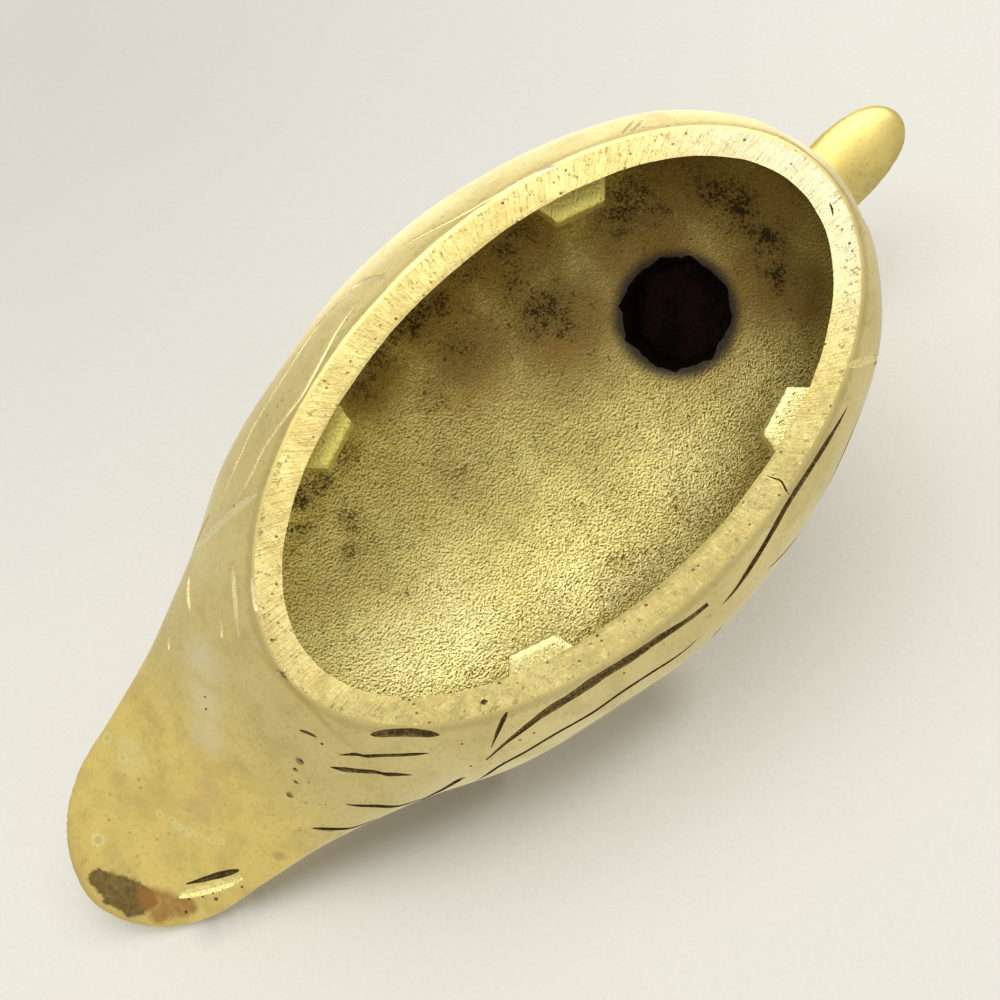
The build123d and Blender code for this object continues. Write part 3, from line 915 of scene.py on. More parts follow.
headSkin, headGroove, headBore = range(3)
headFinishes = [bpy.data.materials.new(name) for name in ("agedBrassHead", "cutGrooveHead", "sootedBore")]
skull, stem = ringSolid("headForm", headRings()), neckForm("neckForm", 0, -1.5)
headCasting = evenSkin("headCasting", (skull, stem), head["voxel"], head["softJoin"])
unevenly(headCasting, head["handLumps"], 2.0, headFinishes)
headSurface = surfaceOf(headCasting)

# places and sizes of the face, and the width and depth of its cuts
face = {
    "eyeY": -58.5,
    "eyeZ": 77.5,
    "eyeRadius": 2.1,
    "eyeStretch": (1.1, 0.85),
    "lipShares": (0.60, 0.985),
    "nostrilShare": 0.70,
    "nostrilReach": 0.03,
    "nostrilAside": 2.3,
    "lipCut": (0.6, 0.4),
    "eyeCut": (0.65, 0.5),
    "pupilCut": (1.3, 0.5),
    "nostrilCut": (0.8, 0.6),
}


def headPoint(share, side):
    width, height = (smooth(headShares, np.array([share, share]), k)[0] for k in (1, 4))
    return Vector(place((side * head["halfWidth"] * width, headPlace(share), headHeight(height)))[0])


def headCuts():
    shares = np.linspace(*face["lipShares"], 9)
    lip = [headPoint(s, -1) for s in shares] + [headPoint(s, 1) for s in shares[::-1]]
    lines = [cutLine(lip, *face["lipCut"], headSurface, taper=0.06)]
    wide, tall = face["eyeStretch"]
    for side, name in ((1, "left"), (-1, "right")):
        eye = castFrom(name, (face["eyeY"], face["eyeZ"]), headSurface)
        middle, normal = headSurface.find_nearest(eye)[:2]
        up = (Vector((0, 0, 1)) - normal * normal.z).normalized()
        forward = normal.cross(up)
        radius = face["eyeRadius"] * mm
        ring = [middle + (up * math.sin(a) * tall + forward * math.cos(a) * wide) * radius
                for a in np.linspace(0, 2 * math.pi, 12, endpoint=False)]
        lines.append(cutLine(ring, *face["eyeCut"], headSurface, closed=True))
        pupil = [middle - forward * 0.3 * mm, middle + forward * 0.3 * mm]
        lines.append(cutLine(pupil, *face["pupilCut"], headSurface, taper=0.5))
        aside, reach = side * face["nostrilAside"], face["nostrilReach"]
        nostril = [castFrom("top", (aside, headPlace(face["nostrilShare"] + step)), headSurface)
                   for step in (-reach, 0, reach)]
        lines.append(cutLine(nostril, *face["nostrilCut"], headSurface, taper=0.35))
    return lines


engrave(headCasting, "headCuts", headCuts(), headGroove, headFinishes)
combine(headCasting, seatCutter("stemCut", -1, headBore, headFinishes), "DIFFERENCE")
bore = neckForm("bore", neck["wall"], -2)
giveFinishes(bore, headFinishes, headBore)
combine(bore, ballAt("headHollow", headMiddle, head["hollowRadius"]), "UNION")
combine(headCasting, bore, "DIFFERENCE")
makePiece(headCasting, "head_and_neck")

# Filler metal round the neck: a bead with the ripples of its runs
brazeFinish = bpy.data.materials.new("brazeMetal")


def brazeBead():
    around = 260
    turn = fullTurn(around)
    gap = math.sqrt(2) * neck["gap"]
    inner, reach = neck["radius"] - neck["bevel"] + gap, neck["radius"]
    ripple = 0.5 + 0.25 * np.sin(turn * 41 + 2 * np.sin(turn * 3)) + 0.25 * np.sin(turn * 9 + 1)
    bulge = neck["brazeBulge"] * (0.55 + 0.45 * ripple)
    edge = neck["bevel"] - gap
    outline = [(inner, 0), (reach, edge), (reach + bulge * 0.8, 0.55 * edge), (reach + bulge, 0),
               (reach + bulge * 0.8, -0.55 * edge), (reach, -edge)]
    rings = [circleOn(seatMiddle + np.outer(height, seatUp), tilt, radius, around)
             for radius, height in outline]
    return ringSolid("neckBraze", rings, 0, [brazeFinish], closed=True)


makePiece(brazeBead(), "neck_braze_ring")

# Core: it fills the neck's bore and the head's hollow
coreFinish = bpy.data.materials.new("firedCore")
core = neckForm("corePlug", neck["wall"] + coreRest["gap"], 1.5)
combine(core, ballAt("coreHead", headMiddle, head["hollowRadius"] - coreRest["gap"]), "UNION")
addRemesh(core, coreRest["voxel"])
settle(core)
unevenly(core, coreRest["brokenLumps"], 4.0, [coreFinish])
unevenly(core, coreRest["crumbLumps"], 6.0, [coreFinish])
makePiece(core, "core_plug")


# Finishes. All patterns read Object coordinates in millimetres.
class Finish(NodeWork):
    def __init__(self, material, metallic):
        material.use_nodes = True
        super().__init__(material.node_tree)
        self.shader = material.node_tree.nodes["Principled BSDF"]
        self.shader.inputs["Metallic"].default_value = metallic
        where = self.node("ShaderNodeTexCoord", output="Object")
        self.place = self.scaled(where, (1000, 1000, 1000))
        self.colour = None

    def part(self, axis):
        return self.node("ShaderNodeSeparateXYZ", None, {"Vector": self.place}, axis)

    # a layer of another colour, as thick as its mask says
    def coat(self, mask, colour, mode="MIX"):
        self.colour = self.blend(mask, self.colour, colour, mode)

    def scaled(self, vector, scale):
        return self.node("ShaderNodeVectorMath", {"operation": "MULTIPLY"}, {0: vector, 1: scale})

    def added(self, vector, step):
        return self.node("ShaderNodeVectorMath", {"operation": "ADD"}, {0: vector, 1: step})

    # the same place in millimetres, moved by a seed so that two patterns never match
    def moved(self, vector, seed):
        return self.added(vector, (31 * seed, 57 * seed, 83 * seed))

    def noise(self, size, detail=2.0, roughness=0.5, seed=0.0, stretch=None, shift=None):
        vector = self.scaled(self.place, stretch) if stretch else self.place
        vector = self.added(vector, shift) if shift else vector
        return self.node("ShaderNodeTexNoise", None, {
            "Vector": self.moved(vector, seed), "Scale": 1 / size, "Detail": detail, "Roughness": roughness,
        })

    def specks(self, size, low, high, seed=0.0):
        cells = self.node("ShaderNodeTexVoronoi", None, {
            "Vector": self.moved(self.place, seed), "Scale": 1 / size,
        }, "Distance")
        return self.step(cells, high, low)

    # 1 near a point in metres, falling to 0 at the radius in millimetres
    def near(self, point, radius, soft=0.6, edge=None):
        distance = self.node("ShaderNodeVectorMath", {"operation": "DISTANCE"}, {
            0: self.place, 1: tuple(v / mm for v in point)}, "Value")
        if edge is not None:
            distance = distance + edge
        return self.step(distance, radius, radius * (1 - soft))

    # 1 near any mark: a pixel, which find() turns into a point, a radius and maybe a strength
    def nearAny(self, marks, find, soft, edge=None):
        total = None
        for pixel, radius, *strength in marks:
            mask = self.near(find(pixel), radius, soft, edge)
            if strength:
                mask = mask * strength[0]
            total = mask if total is None else total.highest(mask)
        return total

    def bump(self, height, distance):
        values = {"Height": height, "Distance": distance * mm, "Strength": 1.0}
        return self.node("ShaderNodeBump", None, values)

    # the layers of colour and the rest, handed to the shader
    def wear(self, roughness, relief, metallic=None, specular=None):
        values = {"Base Color": self.colour, "Roughness": roughness, "Normal": relief,
                  "Metallic": metallic, "Specular IOR Level": specular}
        for name, value in values.items():
            if value is not None:
                plug(self.tree, self.shader.inputs[name], value)


def seen(pixel):
    return castPixel(pixel, finishedSurface)


finishedSurface = surfaceOf(casting)

# marks under the tail, by pixel and radius in millimetres
tailMarks = {
    "stain": [((97, 878), 1.8), ((106, 884), 2.6), ((118, 888), 2.9), ((131, 893), 3.0),
              ((143, 898), 2.8), ((122, 900), 2.4), ((110, 893), 2.2), ((134, 905), 2.6)],
    "copper": [((152, 900), 3.2), ((166, 905), 3.4), ((181, 907), 2.8), ((190, 906), 2.0),
               ((160, 912), 2.6)],
    "rings": [((98, 840), 1.5), ((160, 814), 0.9), ((172, 820), 0.9), ((181, 827), 0.75),
              ((189, 831), 0.9), ((199, 836), 0.7), ((212, 840), 0.9), ((221, 842), 0.8),
              ((107, 738), 1.3), ((123, 758), 1.2), ((167, 704), 0.6)],
    "spots": [((300, 761), 1.0), ((296, 769), 0.6), ((290, 795), 0.8), ((296, 782), 0.45)],
    "halos": [((279, 856), 1.5), ((331, 830), 0.9), ((98, 840), 1.0)],
    "smear": [((208, 792), 4.5), ((200, 808), 4.0)],
    "lacquer": [((128, 748), 2.6), ((137, 757), 2.6), ((125, 765), 2.0), ((133, 770), 1.8),
                ((190, 833), 1.4), ((178, 826), 1.4)],
    # painted reflection: a pale band down the tail
    "paintedGleam": [((205, 700), 7.0), ((203, 660), 7.5), ((207, 735), 6.0)],
    "flecks": [((186, 912), 0.35), ((216, 899), 0.4), ((242, 887), 0.3), ((205, 697), 0.3),
               ((206, 709), 0.3)],
}


def agedBrass(material, marked):
    f = Finish(material, 1.0)
    broad, middle = f.noise(30, 3, seed=1.0), f.noise(6, 4, 0.6, seed=2.0)
    fine = f.noise(0.8, 3, 0.6, seed=3.0)
    height, fromMiddle = f.part("Z"), f.part("Y") - duckShift
    f.colour = f.blend(f.step(broad, 0.36, 0.64), (0.71, 0.585, 0.235), (0.81, 0.685, 0.30))
    # the tail and the head are a warmer yellow than the flanks
    golden = f.step(fromMiddle + broad * 20.0, 72, 92) if marked else 0.6
    f.coat(golden * 0.8, (0.86, 0.665, 0.19))
    f.coat(f.step(middle, 0.46, 0.70) * 0.45, (0.56, 0.46, 0.17))
    f.coat(f.step(fine, 0.50, 0.72) * 0.30, (0.42, 0.33, 0.12))
    alongBody = f.noise(0.9, 3, 0.6, seed=4.0, stretch=(1.6, 0.07, 1.6))
    acrossBody = f.noise(0.9, 2, 0.5, seed=5.0, stretch=(0.16, 1.8, 0.3))
    scratches = f.step(alongBody, 0.60, 0.72) * 0.6 + f.step(acrossBody, 0.64, 0.74) * 0.4
    f.coat(scratches * 0.30, (0.90, 0.80, 0.50))
    tarnish = f.step(f.noise(2.6, 4, 0.65, seed=12.0), 0.60, 0.72)
    tarnish = tarnish * f.step(f.noise(14, 2, seed=13.0), 0.50, 0.62)
    f.coat(tarnish * 0.55, (0.36, 0.25, 0.09))
    freckles = f.specks(2.6, 0.05, 0.17, 6.0) * f.step(f.noise(11, 2, seed=7.0), 0.52, 0.62)
    f.coat(freckles * 0.5, (0.16, 0.11, 0.04))
    roughness = 0.30 + middle * 0.12 + fine * 0.08 - scratches * 0.04
    relief = scratches * -0.4 + fine * 0.35 + f.noise(3.2, 3, 0.5, seed=8.0) * 0.9 + freckles * -0.5
    if not marked:
        f.coat(1.0, (0.82, 0.82, 0.78), "MULTIPLY")
    if marked:
        f.coat(f.step(fromMiddle + middle * 12.0, 104, 118) * 0.55, (0.54, 0.40, 0.13))
        f.coat(f.step(f.noise(9, 3, 0.6, seed=14.0), 0.48, 0.66) * golden * 0.35, (0.60, 0.46, 0.15))
        ragged = f.noise(1.6, 4, 0.65, seed=9.0) * 2.4 - 1.2
        softly = f.noise(4.0, 2, seed=10.0) * 3.0 - 1.5

        def union(name, soft, edge):
            return f.nearAny(tailMarks[name], seen, soft, edge)

        # dirt of handling gathers in the hollow beside the rim's edge
        f.coat(f.step(height - fine * 1.2, 0.9, 0.1) * 0.35, (0.42, 0.32, 0.12))
        # painted reflection: a pale band down the tail
        f.coat(union("paintedGleam", 0.95, softly) * 0.45, (0.86, 0.79, 0.54))
        f.coat(union("lacquer", 0.5, ragged) * 0.45, (0.86, 0.74, 0.33))
        stain = union("stain", 0.30, ragged)
        blotch = f.step(f.noise(1.1, 4, 0.65, seed=11.0), 0.30, 0.62)
        f.coat(stain * (0.76 + blotch * 0.16), (0.13, 0.085, 0.032))
        copper = union("copper", 0.55, softly * 0.6)
        f.coat(copper * (0.66 + blotch * 0.24), (0.40, 0.205, 0.06))
        f.coat(union("spots", 0.35, ragged * 0.2) * 0.7, (0.22, 0.145, 0.05))
        f.coat(union("halos", 0.7, ragged * 0.3) * 0.45, (0.34, 0.24, 0.09))
        f.coat(union("flecks", 0.4, ragged * 0.1) * 0.85, (0.06, 0.04, 0.015))
        f.coat(union("smear", 0.9, softly) * 0.35, (0.70, 0.46, 0.24))
        for pixel, radius in tailMarks["rings"]:
            point = seen(pixel)
            f.coat(f.near(point, radius, 0.35, ragged * 0.2) * 0.50, (0.90, 0.80, 0.36))
            f.coat(f.near(point, radius * 0.55, 0.6, ragged * 0.1) * 0.35, (0.52, 0.42, 0.16))
        roughness = roughness + stain * 0.22 + copper * 0.08
    f.wear(roughness, f.bump(relief, 0.035))


def filedBrass(material, ledgeFace):
    f = Finish(material, 1.0)
    across, along = f.part("X") / rimWidth, (f.part("Y") - duckShift) / rimLength
    angle = across.maths("ARCTAN2", across, along)
    radius = across.maths("SQRT", across * across + along * along)
    polar = f.node("ShaderNodeCombineXYZ", None, {"X": angle * 44.0, "Y": radius * 42.0, "Z": 0.0})

    def strokes(size, long, lean, seed):
        turned = f.node("ShaderNodeMapping", None, {
            "Vector": polar, "Rotation": (0.0, 0.0, lean), "Scale": (1 / size, 1 / long, 1.0)})
        return f.node("ShaderNodeTexNoise", {"noise_dimensions": "4D"}, {
            "Vector": turned, "W": seed, "Scale": 1.0, "Detail": 3.0, "Roughness": 0.65})

    filed, cross = strokes(0.42, 4.0, 0.12, 1.0), strokes(0.55, 3.0, -0.55, 2.0)
    grain, patch = f.noise(0.5, 3, 0.65, seed=3.0), f.noise(7, 4, 0.6, seed=4.0)
    crumbs = f.noise(0.9, 4, 0.7, seed=7.0)
    # the strokes show most on the duck's right side, and grime gathers there and at both ends
    rightSide = f.step(across, 0.25, -0.45)
    f.colour = f.blend(f.step(patch, 0.36, 0.64), (0.68, 0.555, 0.195), (0.82, 0.70, 0.285))
    mottle, front = f.noise(1.7, 4, 0.65, seed=8.0), f.step(along, -0.60, -0.98)
    worn = f.step(across, -0.10, 0.45) * f.step(along, -0.70, -0.35)
    f.coat(worn * 0.45, (0.56, 0.46, 0.17))
    # painted highlight: the front of the rim is made pale, nearly white
    f.coat(front * 0.60, (0.94, 0.90, 0.70))
    f.coat(f.step(mottle, 0.50, 0.62) * (0.30 + worn * 0.30), (0.46, 0.39, 0.17))
    f.coat(f.step(mottle, 0.44, 0.34) * 0.35, (0.93, 0.85, 0.42))
    f.coat(f.step(filed, 0.47, 0.60) * (0.16 + rightSide * 0.26), (0.42, 0.33, 0.13))
    f.coat(f.step(cross, 0.55, 0.70) * 0.22, (0.95, 0.88, 0.60))
    f.coat(f.step(grain, 0.54, 0.70) * 0.34, (0.42, 0.31, 0.11))
    f.coat(f.step(grain, 0.44, 0.32) * 0.35, (0.95, 0.88, 0.56))
    dirt = f.step(crumbs * 0.65 + filed * 0.35 + radius * 0.45, 0.965, 1.045) * f.step(patch, 0.34, 0.52)
    f.coat(dirt * 0.62, (0.30, 0.22, 0.085))
    edges = f.step(radius + crumbs * 0.03 + patch * 0.03, 1.012, 1.03)
    edges = edges + f.step(radius - crumbs * 0.02, 0.865, 0.85)
    f.coat(edges * 0.35, (0.36, 0.26, 0.09))
    pits = f.specks(1.5, 0.07, 0.22, 5.0) * f.step(f.noise(6, 2, seed=6.0), 0.42, 0.56)
    f.coat(pits * 0.85, (0.07, 0.045, 0.018))
    relief = filed * 1.2 + cross * 0.6 + grain * 1.0 - pits * 1.2 - dirt * 0.5
    if ledgeFace:
        plain = f.blend(rightSide, (0.97, 0.88, 0.44), (0.86, 0.77, 0.22))
        f.colour = f.blend(f.step(grain, 0.40, 0.62) * 0.50, plain, (0.56, 0.47, 0.14))
    f.coat(rightSide * 0.5, (0.90, 0.88, 0.88), "MULTIPLY")
    f.wear(0.44 + grain * 0.16 + dirt * 0.15, f.bump(relief, 0.07 if not ledgeFace else 0.16))


# dark patches of the wall inside, partly patina and partly painted shade where the wall faces away from the
# light: pixel, radius in millimetres and strength
wallPatinaAndShade = [
    ((415, 318), 7.5, 1.0), ((398, 330), 5.5, 0.9), ((436, 306), 6.0, 0.8), ((540, 310), 8.0, 0.75),
    ((515, 290), 6.5, 0.6), ((560, 325), 5.5, 0.6), ((470, 270), 6.0, 0.7), ((523, 230), 6.0, 0.8),
    ((505, 250), 5.0, 0.7), ((600, 205), 7.5, 0.9), ((632, 192), 7.0, 1.0), ((618, 215), 6.5, 0.85),
    ((650, 210), 6.0, 0.7), ((715, 190), 7.0, 0.9), ((738, 205), 7.0, 1.0), ((768, 240), 6.5, 0.95),
    ((778, 272), 5.5, 0.85), ((700, 172), 5.0, 0.7), ((752, 230), 5.0, 0.8), ((345, 455), 4.5, 0.8),
    ((303, 497), 5.0, 0.95), ((318, 478), 5.5, 0.8), ((350, 520), 4.5, 0.6), ((300, 530), 4.0, 0.75),
    ((352, 552), 4.0, 0.5), ((365, 385), 6.0, 0.65), ((385, 355), 6.0, 0.75), ((430, 400), 5.0, 0.5),
    ((455, 345), 6.0, 0.5), ((660, 250), 4.0, 0.4), ((620, 560), 4.0, 0.3), ((455, 480), 4.0, 0.35),
]
# broad tints of the wall: pixel, radius and strength; the bright ones are painted light on the wall's rear
# and lower side, which faces the light
paintedLightPatches = [((400, 655), 15, 0.8), ((460, 630), 16, 0.8), ((560, 600), 13, 0.5),
                 ((690, 480), 11, 0.45), ((800, 380), 7, 0.5)]
olivePatches = [((480, 480), 15, 0.7), ((560, 430), 15, 0.6), ((390, 560), 11, 0.6), ((600, 500), 11, 0.4)]
copperPatches = [((470, 420), 9, 0.7), ((440, 450), 8, 0.7), ((500, 395), 8, 0.6), ((400, 470), 8, 0.5),
                 ((560, 350), 7, 0.4)]
dustyPatches = [((650, 565), 8, 0.6), ((620, 590), 7, 0.5), ((700, 520), 6, 0.4)]

# smoother stains of the cast skin; their dark brown is partly the skin's own colour and partly painted
# shade on the front and upper wall, which faces away from the light
smoothShadedPatches = [
    ((370, 380), 14), ((430, 310), 18), ((470, 350), 15), ((510, 250), 20), ((560, 320), 19),
    ((600, 190), 20), ((640, 240), 20), ((690, 180), 20), ((760, 210), 20), ((770, 270), 17),
    ((800, 290), 12),
]


def castInside(material):
    f = Finish(material, 1.0)
    grain, crumbs = f.noise(0.44, 2, 0.6, seed=1.0), f.noise(0.50, 3, 0.7, seed=8.0)
    beside = f.noise(0.44, 2, 0.6, seed=1.0, shift=(0.13, 0.03, 0.0))
    paintedGrainLight = (beside - grain) * 2.3 + 0.5
    middle, broad = f.noise(3.0, 4, 0.65, seed=2.0), f.noise(13, 3, 0.55, seed=3.0)
    ragged = f.noise(4.5, 5, 0.7, seed=4.0) * 9.0 - 4.5

    def union(patches, soft, edge):
        return f.nearAny(patches, seen, soft, edge)

    smoothAndShaded = union(smoothShadedPatches, 0.75, ragged * 0.6)
    rough = 1 - smoothAndShaded * 0.78
    f.colour = f.blend(f.step(broad, 0.35, 0.65), (0.67, 0.55, 0.165), (0.84, 0.735, 0.26))
    f.coat(f.step(middle, 0.46, 0.70) * 0.46, (0.47, 0.37, 0.10))
    # painted light: the lit rear and lower side of the wall is made paler
    f.coat(union(paintedLightPatches, 0.95, ragged * 0.5) * 0.75, (0.97, 0.88, 0.44))
    f.coat(union(olivePatches, 0.95, ragged * 0.5) * 0.60, (0.44, 0.35, 0.10))
    f.coat(union(dustyPatches, 0.90, ragged * 0.5) * 0.60, (0.60, 0.52, 0.32))
    # partly real colour and partly painted shade: the smoother patches are made dark brown
    f.coat(smoothAndShaded * 0.86, (0.225, 0.138, 0.034))
    f.coat(union(copperPatches, 0.90, ragged * 0.4) * 0.55, (0.56, 0.35, 0.075))
    # painted shade and highlight: each sand grain gets a dark side and a bright side, as if lit from one
    # side
    f.coat(f.step(paintedGrainLight, 0.48, 0.30) * (rough * 0.90 + 0.10), (0.17, 0.125, 0.025))
    f.coat(f.step(paintedGrainLight, 0.54, 0.74) * rough * 0.66, (0.99, 0.94, 0.52))
    f.coat(f.step(crumbs, 0.60, 0.70) * (0.30 + rough * 0.25), (0.12, 0.085, 0.03))
    patinaAndShade = union(wallPatinaAndShade, 0.9, ragged * 0.5)
    dust, clumps = f.noise(0.55, 3, 0.75, seed=5.0), f.noise(2.2, 4, 0.7, seed=6.0)
    # partly patina and partly painted shade: the wall that faces away from the light is made browner, with
    # more dark specks
    f.coat(patinaAndShade * 0.26, (0.22, 0.15, 0.055))
    dark = f.step(dust * 0.62 + clumps * 0.38 + patinaAndShade * 0.115, 0.585, 0.635)
    f.coat(dark * (0.60 + patinaAndShade * 0.32), (0.045, 0.028, 0.014))
    loose = f.specks(3.1, 0.05, 0.11, 7.0)
    f.coat(loose * 0.75, (0.07, 0.045, 0.018))
    opening = place(seatMiddle - seatUp * 7.5 + (*neck["openingShift"], 0))[0]
    burnt = f.near(opening, 12.6, 0.22, ragged * 0.12)
    heated = f.near(opening, 19, 0.7, ragged * 0.3)
    f.coat(heated * 0.45, (0.34, 0.18, 0.045))
    f.coat(burnt * 0.94, (0.012, 0.007, 0.004))
    relief = (grain * -1.0 - crumbs * 0.6) * rough + middle * 0.5 - dark * 0.3
    roughness = 0.44 + middle * 0.12 + patinaAndShade * 0.12 + smoothAndShaded * 0.06
    f.wear(roughness, f.bump(relief, 0.14), 1 - burnt * 0.8)


def cutBottom(material, polishedSide):
    f = Finish(material, 1.0)
    crumbs, patch = f.noise(0.45, 3, 0.65, seed=1.0), f.noise(4, 3, 0.6, seed=2.0)
    f.colour = f.blend(f.step(patch, 0.40, 0.62), (0.21, 0.15, 0.055), (0.12, 0.082, 0.03))
    f.coat(f.step(crumbs, 0.50, 0.66) * 0.7, (0.045, 0.03, 0.013))
    f.coat(f.step(crumbs, 0.44, 0.30) * 0.6, (0.46, 0.37, 0.16))
    # polish reached into the low cuts of the duck's right side, which are clean and bright
    roughness = 0.50 + crumbs * 0.2
    if polishedSide:
        aside, height = f.part("X"), f.part("Z")
        clean = f.step(aside + patch * 4.0, 2.0, -4.0) * f.step(height + patch * 6.0, 38, 28)
        bright = f.blend(f.step(crumbs, 0.48, 0.66) * 0.5, (0.84, 0.75, 0.43), (0.52, 0.41, 0.17))
        f.coat(clean, bright)
        roughness = roughness - clean * 0.14
    f.wear(roughness, f.bump(crumbs, 0.10))


def sooted(material):
    f = Finish(material, 0.0)
    crumbs = f.noise(0.7, 4, 0.65, seed=1.0)
    f.colour = f.blend(f.step(crumbs, 0.4, 0.7), (0.005, 0.003, 0.002), (0.016, 0.008, 0.004))
    f.wear(0.7 + crumbs * 0.2, f.bump(crumbs, 0.25), specular=0.1)


def firedCore(material):
    f = Finish(material, 0.0)
    crumbs, clumps = f.noise(0.8, 4, 0.65, seed=1.0), f.noise(4.5, 3, 0.6, seed=2.0)
    f.colour = f.blend(f.step(clumps, 0.40, 0.62), (0.008, 0.005, 0.003), (0.022, 0.010, 0.006))
    f.coat(f.step(crumbs, 0.55, 0.72) * 0.5, (0.040, 0.030, 0.024))
    f.wear(0.85 + crumbs * 0.1, f.bump(crumbs, 0.4), specular=0.08)


agedBrass(bodyFinishes[outside], True)
filedBrass(bodyFinishes[filedRim], False)
castInside(bodyFinishes[castWall])
cutBottom(bodyFinishes[cutGroove], True)
sooted(bodyFinishes[sootedEdge])
filedBrass(bodyFinishes[castLedge], True)
agedBrass(headFinishes[headSkin], False)
cutBottom(headFinishes[headGroove], False)
sooted(headFinishes[headBore])
agedBrass(brazeFinish, False)
firedCore(coreFinish)
print("stage: finishes")


# Stage: a pale floor under the standing duck, and the pale table that it lies on in the
# photograph. Each is seen from its own side only, and only the camera sees them.
stage = {
    "floorColour": (0.70, 0.685, 0.645),
    "tableColour": (0.385, 0.377, 0.352),
    # painted light: the table glows, standing in for the light that falls on it
    "tableGlow": (0.300, 0.289, 0.252),
    # painted shadows of the duck on the table: pixels and radii in millimetres along two lines, a broad one
    # and a narrow dark one at the contact
    "paintedTableShadow": [((215, 922), 6), ((290, 878), 10), ((380, 832), 16), ((470, 792), 18),
                   ((560, 748), 17), ((640, 700), 13)],
    "paintedContactShadow": [((262, 897), 4), ((300, 876), 6), ((345, 849), 8), ((400, 820), 9), ((450, 797), 9),
                     ((490, 782), 5)],
    "tableSlope": (-0.80, -0.287),
    "tableZ": 76.8,
    "farCorner": (-177, 17, 214),
    "horizon": (0.80, 0.79, 0.76),
    "below": (0.95, 0.93, 0.88),
}


# point of the table that a pixel of the photograph shows
def onTable(pixel):
    sight = sightThrough(pixel)
    square = Vector((-stage["tableSlope"][0], -stage["tableSlope"][1], 1))
    start = Vector(camera["place"])
    return place(start + sight * ((stage["tableZ"] - square.dot(start)) / square.dot(sight)))[0]


def stageFinish(name, colour, glow, fadeFrom, fadeTo):
    f = Finish(bpy.data.materials.new(name), 0.0)
    cloth = f.noise(0.9, 3, 0.6, seed=1.0)
    f.colour = f.blend(f.step(f.noise(60, 2, seed=2.0), 0.3, 0.7), tuple(v * 0.985 for v in colour), colour)
    f.wear(0.9, f.bump(cloth, 0.10), specular=0.1)
    if glow:
        # painted shade: the table's glow is dimmer toward its far corner
        dim = f.near(place(stage["farCorner"])[0], 270, 1.0)
        paintedTableLight = f.blend(dim, glow, tuple(v * 0.45 for v in glow))
        # painted shadows: the glow is darkened along lines beside the duck's tail and flank
        for line, strength in (("paintedTableShadow", 0.72), ("paintedContactShadow", 0.90)):
            points = threadThrough([(*pixel, radius) for pixel, radius in stage[line]], 16)
            paintedShadow = f.nearAny([((x, y), radius) for x, y, radius in points], onTable, 1.0)
            paintedTableLight = f.blend(paintedShadow * strength, paintedTableLight, tuple(v * 0.06 for v in glow))
        paintedTableLight = f.blend(f.step(cloth, 0.38, 0.62) * 0.06, paintedTableLight, (0.0, 0.0, 0.0))
        plug(f.tree, f.shader.inputs["Emission Color"], paintedTableLight)
        f.shader.inputs["Emission Strength"].default_value = 1.0
    distance = f.node("ShaderNodeVectorMath", {"operation": "LENGTH"}, {0: f.place}, "Value")
    kept = f.step(distance, fadeTo, fadeFrom)
    if glow:
        # above the floor, only sight that came up through it meets the table
        depth = f.node("ShaderNodeLightPath", output="Transparent Depth")
        kept = kept * depth.maths("MINIMUM", depth, 1.0).highest(f.step(f.part("Z"), 0.0, -0.02))
    else:
        kept = kept * (1 - f.node("ShaderNodeNewGeometry", output="Backfacing"))
    clear = f.node("ShaderNodeBsdfTransparent")
    mixed = f.node("ShaderNodeMixShader", None, {0: kept, 1: clear, 2: Signal(f.tree, f.shader.outputs[0])})
    f.tree.links.new(mixed.socket, f.tree.nodes["Material Output"].inputs["Surface"])


def stageSheet(name, corners, materialName):
    mesh = bpy.data.meshes.new(name)
    mesh.from_pydata([tuple(c) for c in corners], [], [(0, 1, 2, 3)])
    made = addObject(name, mesh)
    mesh.materials.append(bpy.data.materials[materialName])
    made.visible_shadow = made.visible_diffuse = made.visible_glossy = False


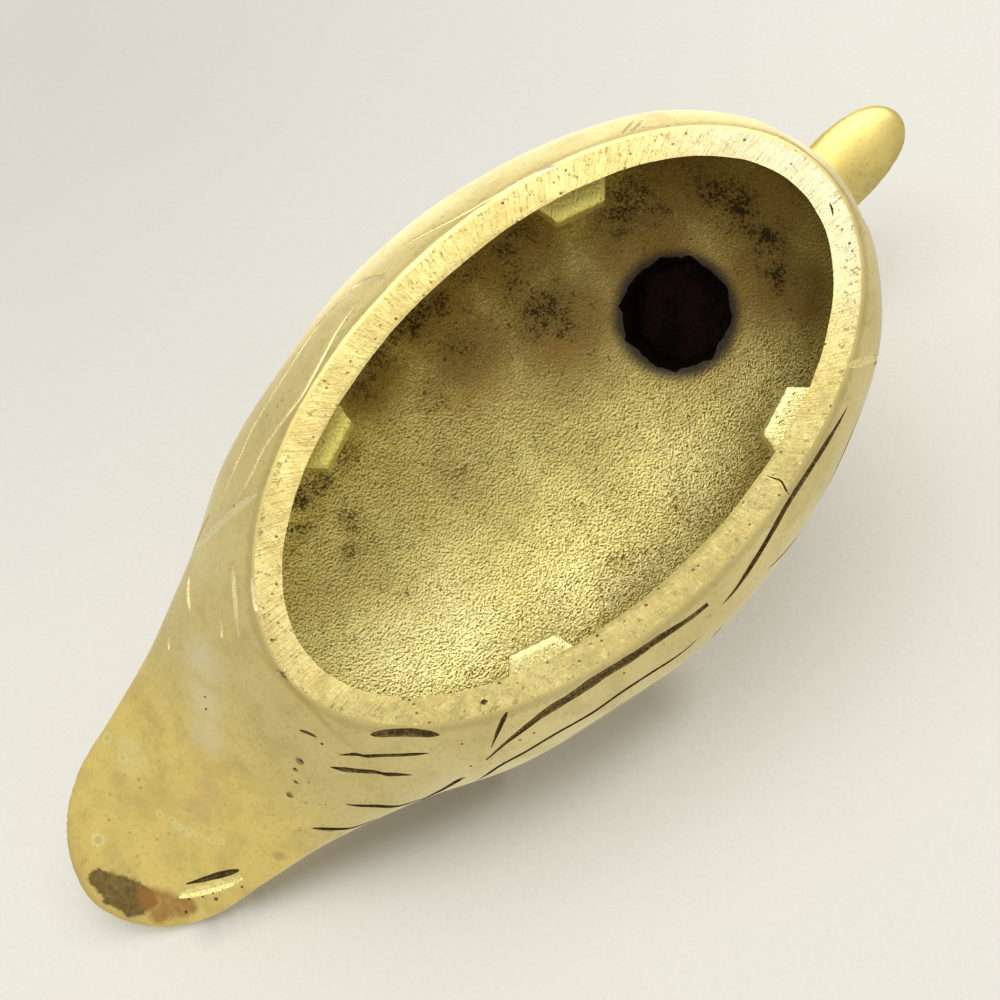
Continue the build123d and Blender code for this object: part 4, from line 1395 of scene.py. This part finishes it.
stageFinish("floorCard", stage["floorColour"], None, 500, 2600)
stageFinish("tableCloth", stage["tableColour"], stage["tableGlow"], 340, 400)
# a hair below the rim, because sight from below must not meet the floor and the rim at one point
floorLevel = -0.05 * mm
stageSheet("floor", [(x, y, floorLevel) for x, y in ((-3, -3), (3, -3), (3, 3), (-3, 3))], "floorCard")


def tablePoint(x, y):
    return place((x, y, stage["tableZ"] + stage["tableSlope"][0] * x + stage["tableSlope"][1] * y))[0]


tableCorners = [tablePoint(x, y) for x, y in ((-400, -400), (250, -400), (250, 400), (-400, 400))]
stageSheet("table", tableCorners, "tableCloth")

# Pale world, brighter straight below where the open base looks, and even near the horizon
world = bpy.data.worlds.new("studio")
scene.world = world
world.use_nodes = True
sky = NodeWork(world.node_tree)
way = sky.node("ShaderNodeTexCoord", output="Generated")
deep = sky.step(sky.node("ShaderNodeSeparateXYZ", None, {"Vector": way}, "Z") * -1.0, 0.30, 0.95)
clouds = sky.node("ShaderNodeTexNoise", {"noise_dimensions": "4D"}, {
    "Vector": way, "W": 2.0, "Scale": 1.6, "Detail": 1.0})
clear = sky.blend(deep, stage["horizon"], stage["below"])
clouded = sky.blend(sky.step(clouds, 0.42, 0.62) * deep, clear, (0.78, 0.78, 0.77), "MULTIPLY")
background = world.node_tree.nodes["Background"]
plug(world.node_tree, background.inputs["Color"], clouded)
background.inputs["Strength"].default_value = 0.95

lamps = {
    "keyBelow": {"from": (-0.62, -0.34, -0.66), "size": 1.25, "power": 10.0},
    "keyAbove": {"from": (-0.65, -0.55, 1.0), "size": 1.6, "power": 5.0},
}
for name, lamp in lamps.items():
    data = bpy.data.lights.new(name, "AREA")
    data.shape, data.size, data.energy = "DISK", lamp["size"], lamp["power"]
    made = addObject(name, data)
    made.location = lamp["from"]
    made.rotation_mode = "QUATERNION"
    made.rotation_quaternion = (Vector((0, 0, 0.04)) - Vector(lamp["from"])).to_track_quat("-Z", "Y")
print("stage: light")

scene.view_settings.view_transform = "Standard"
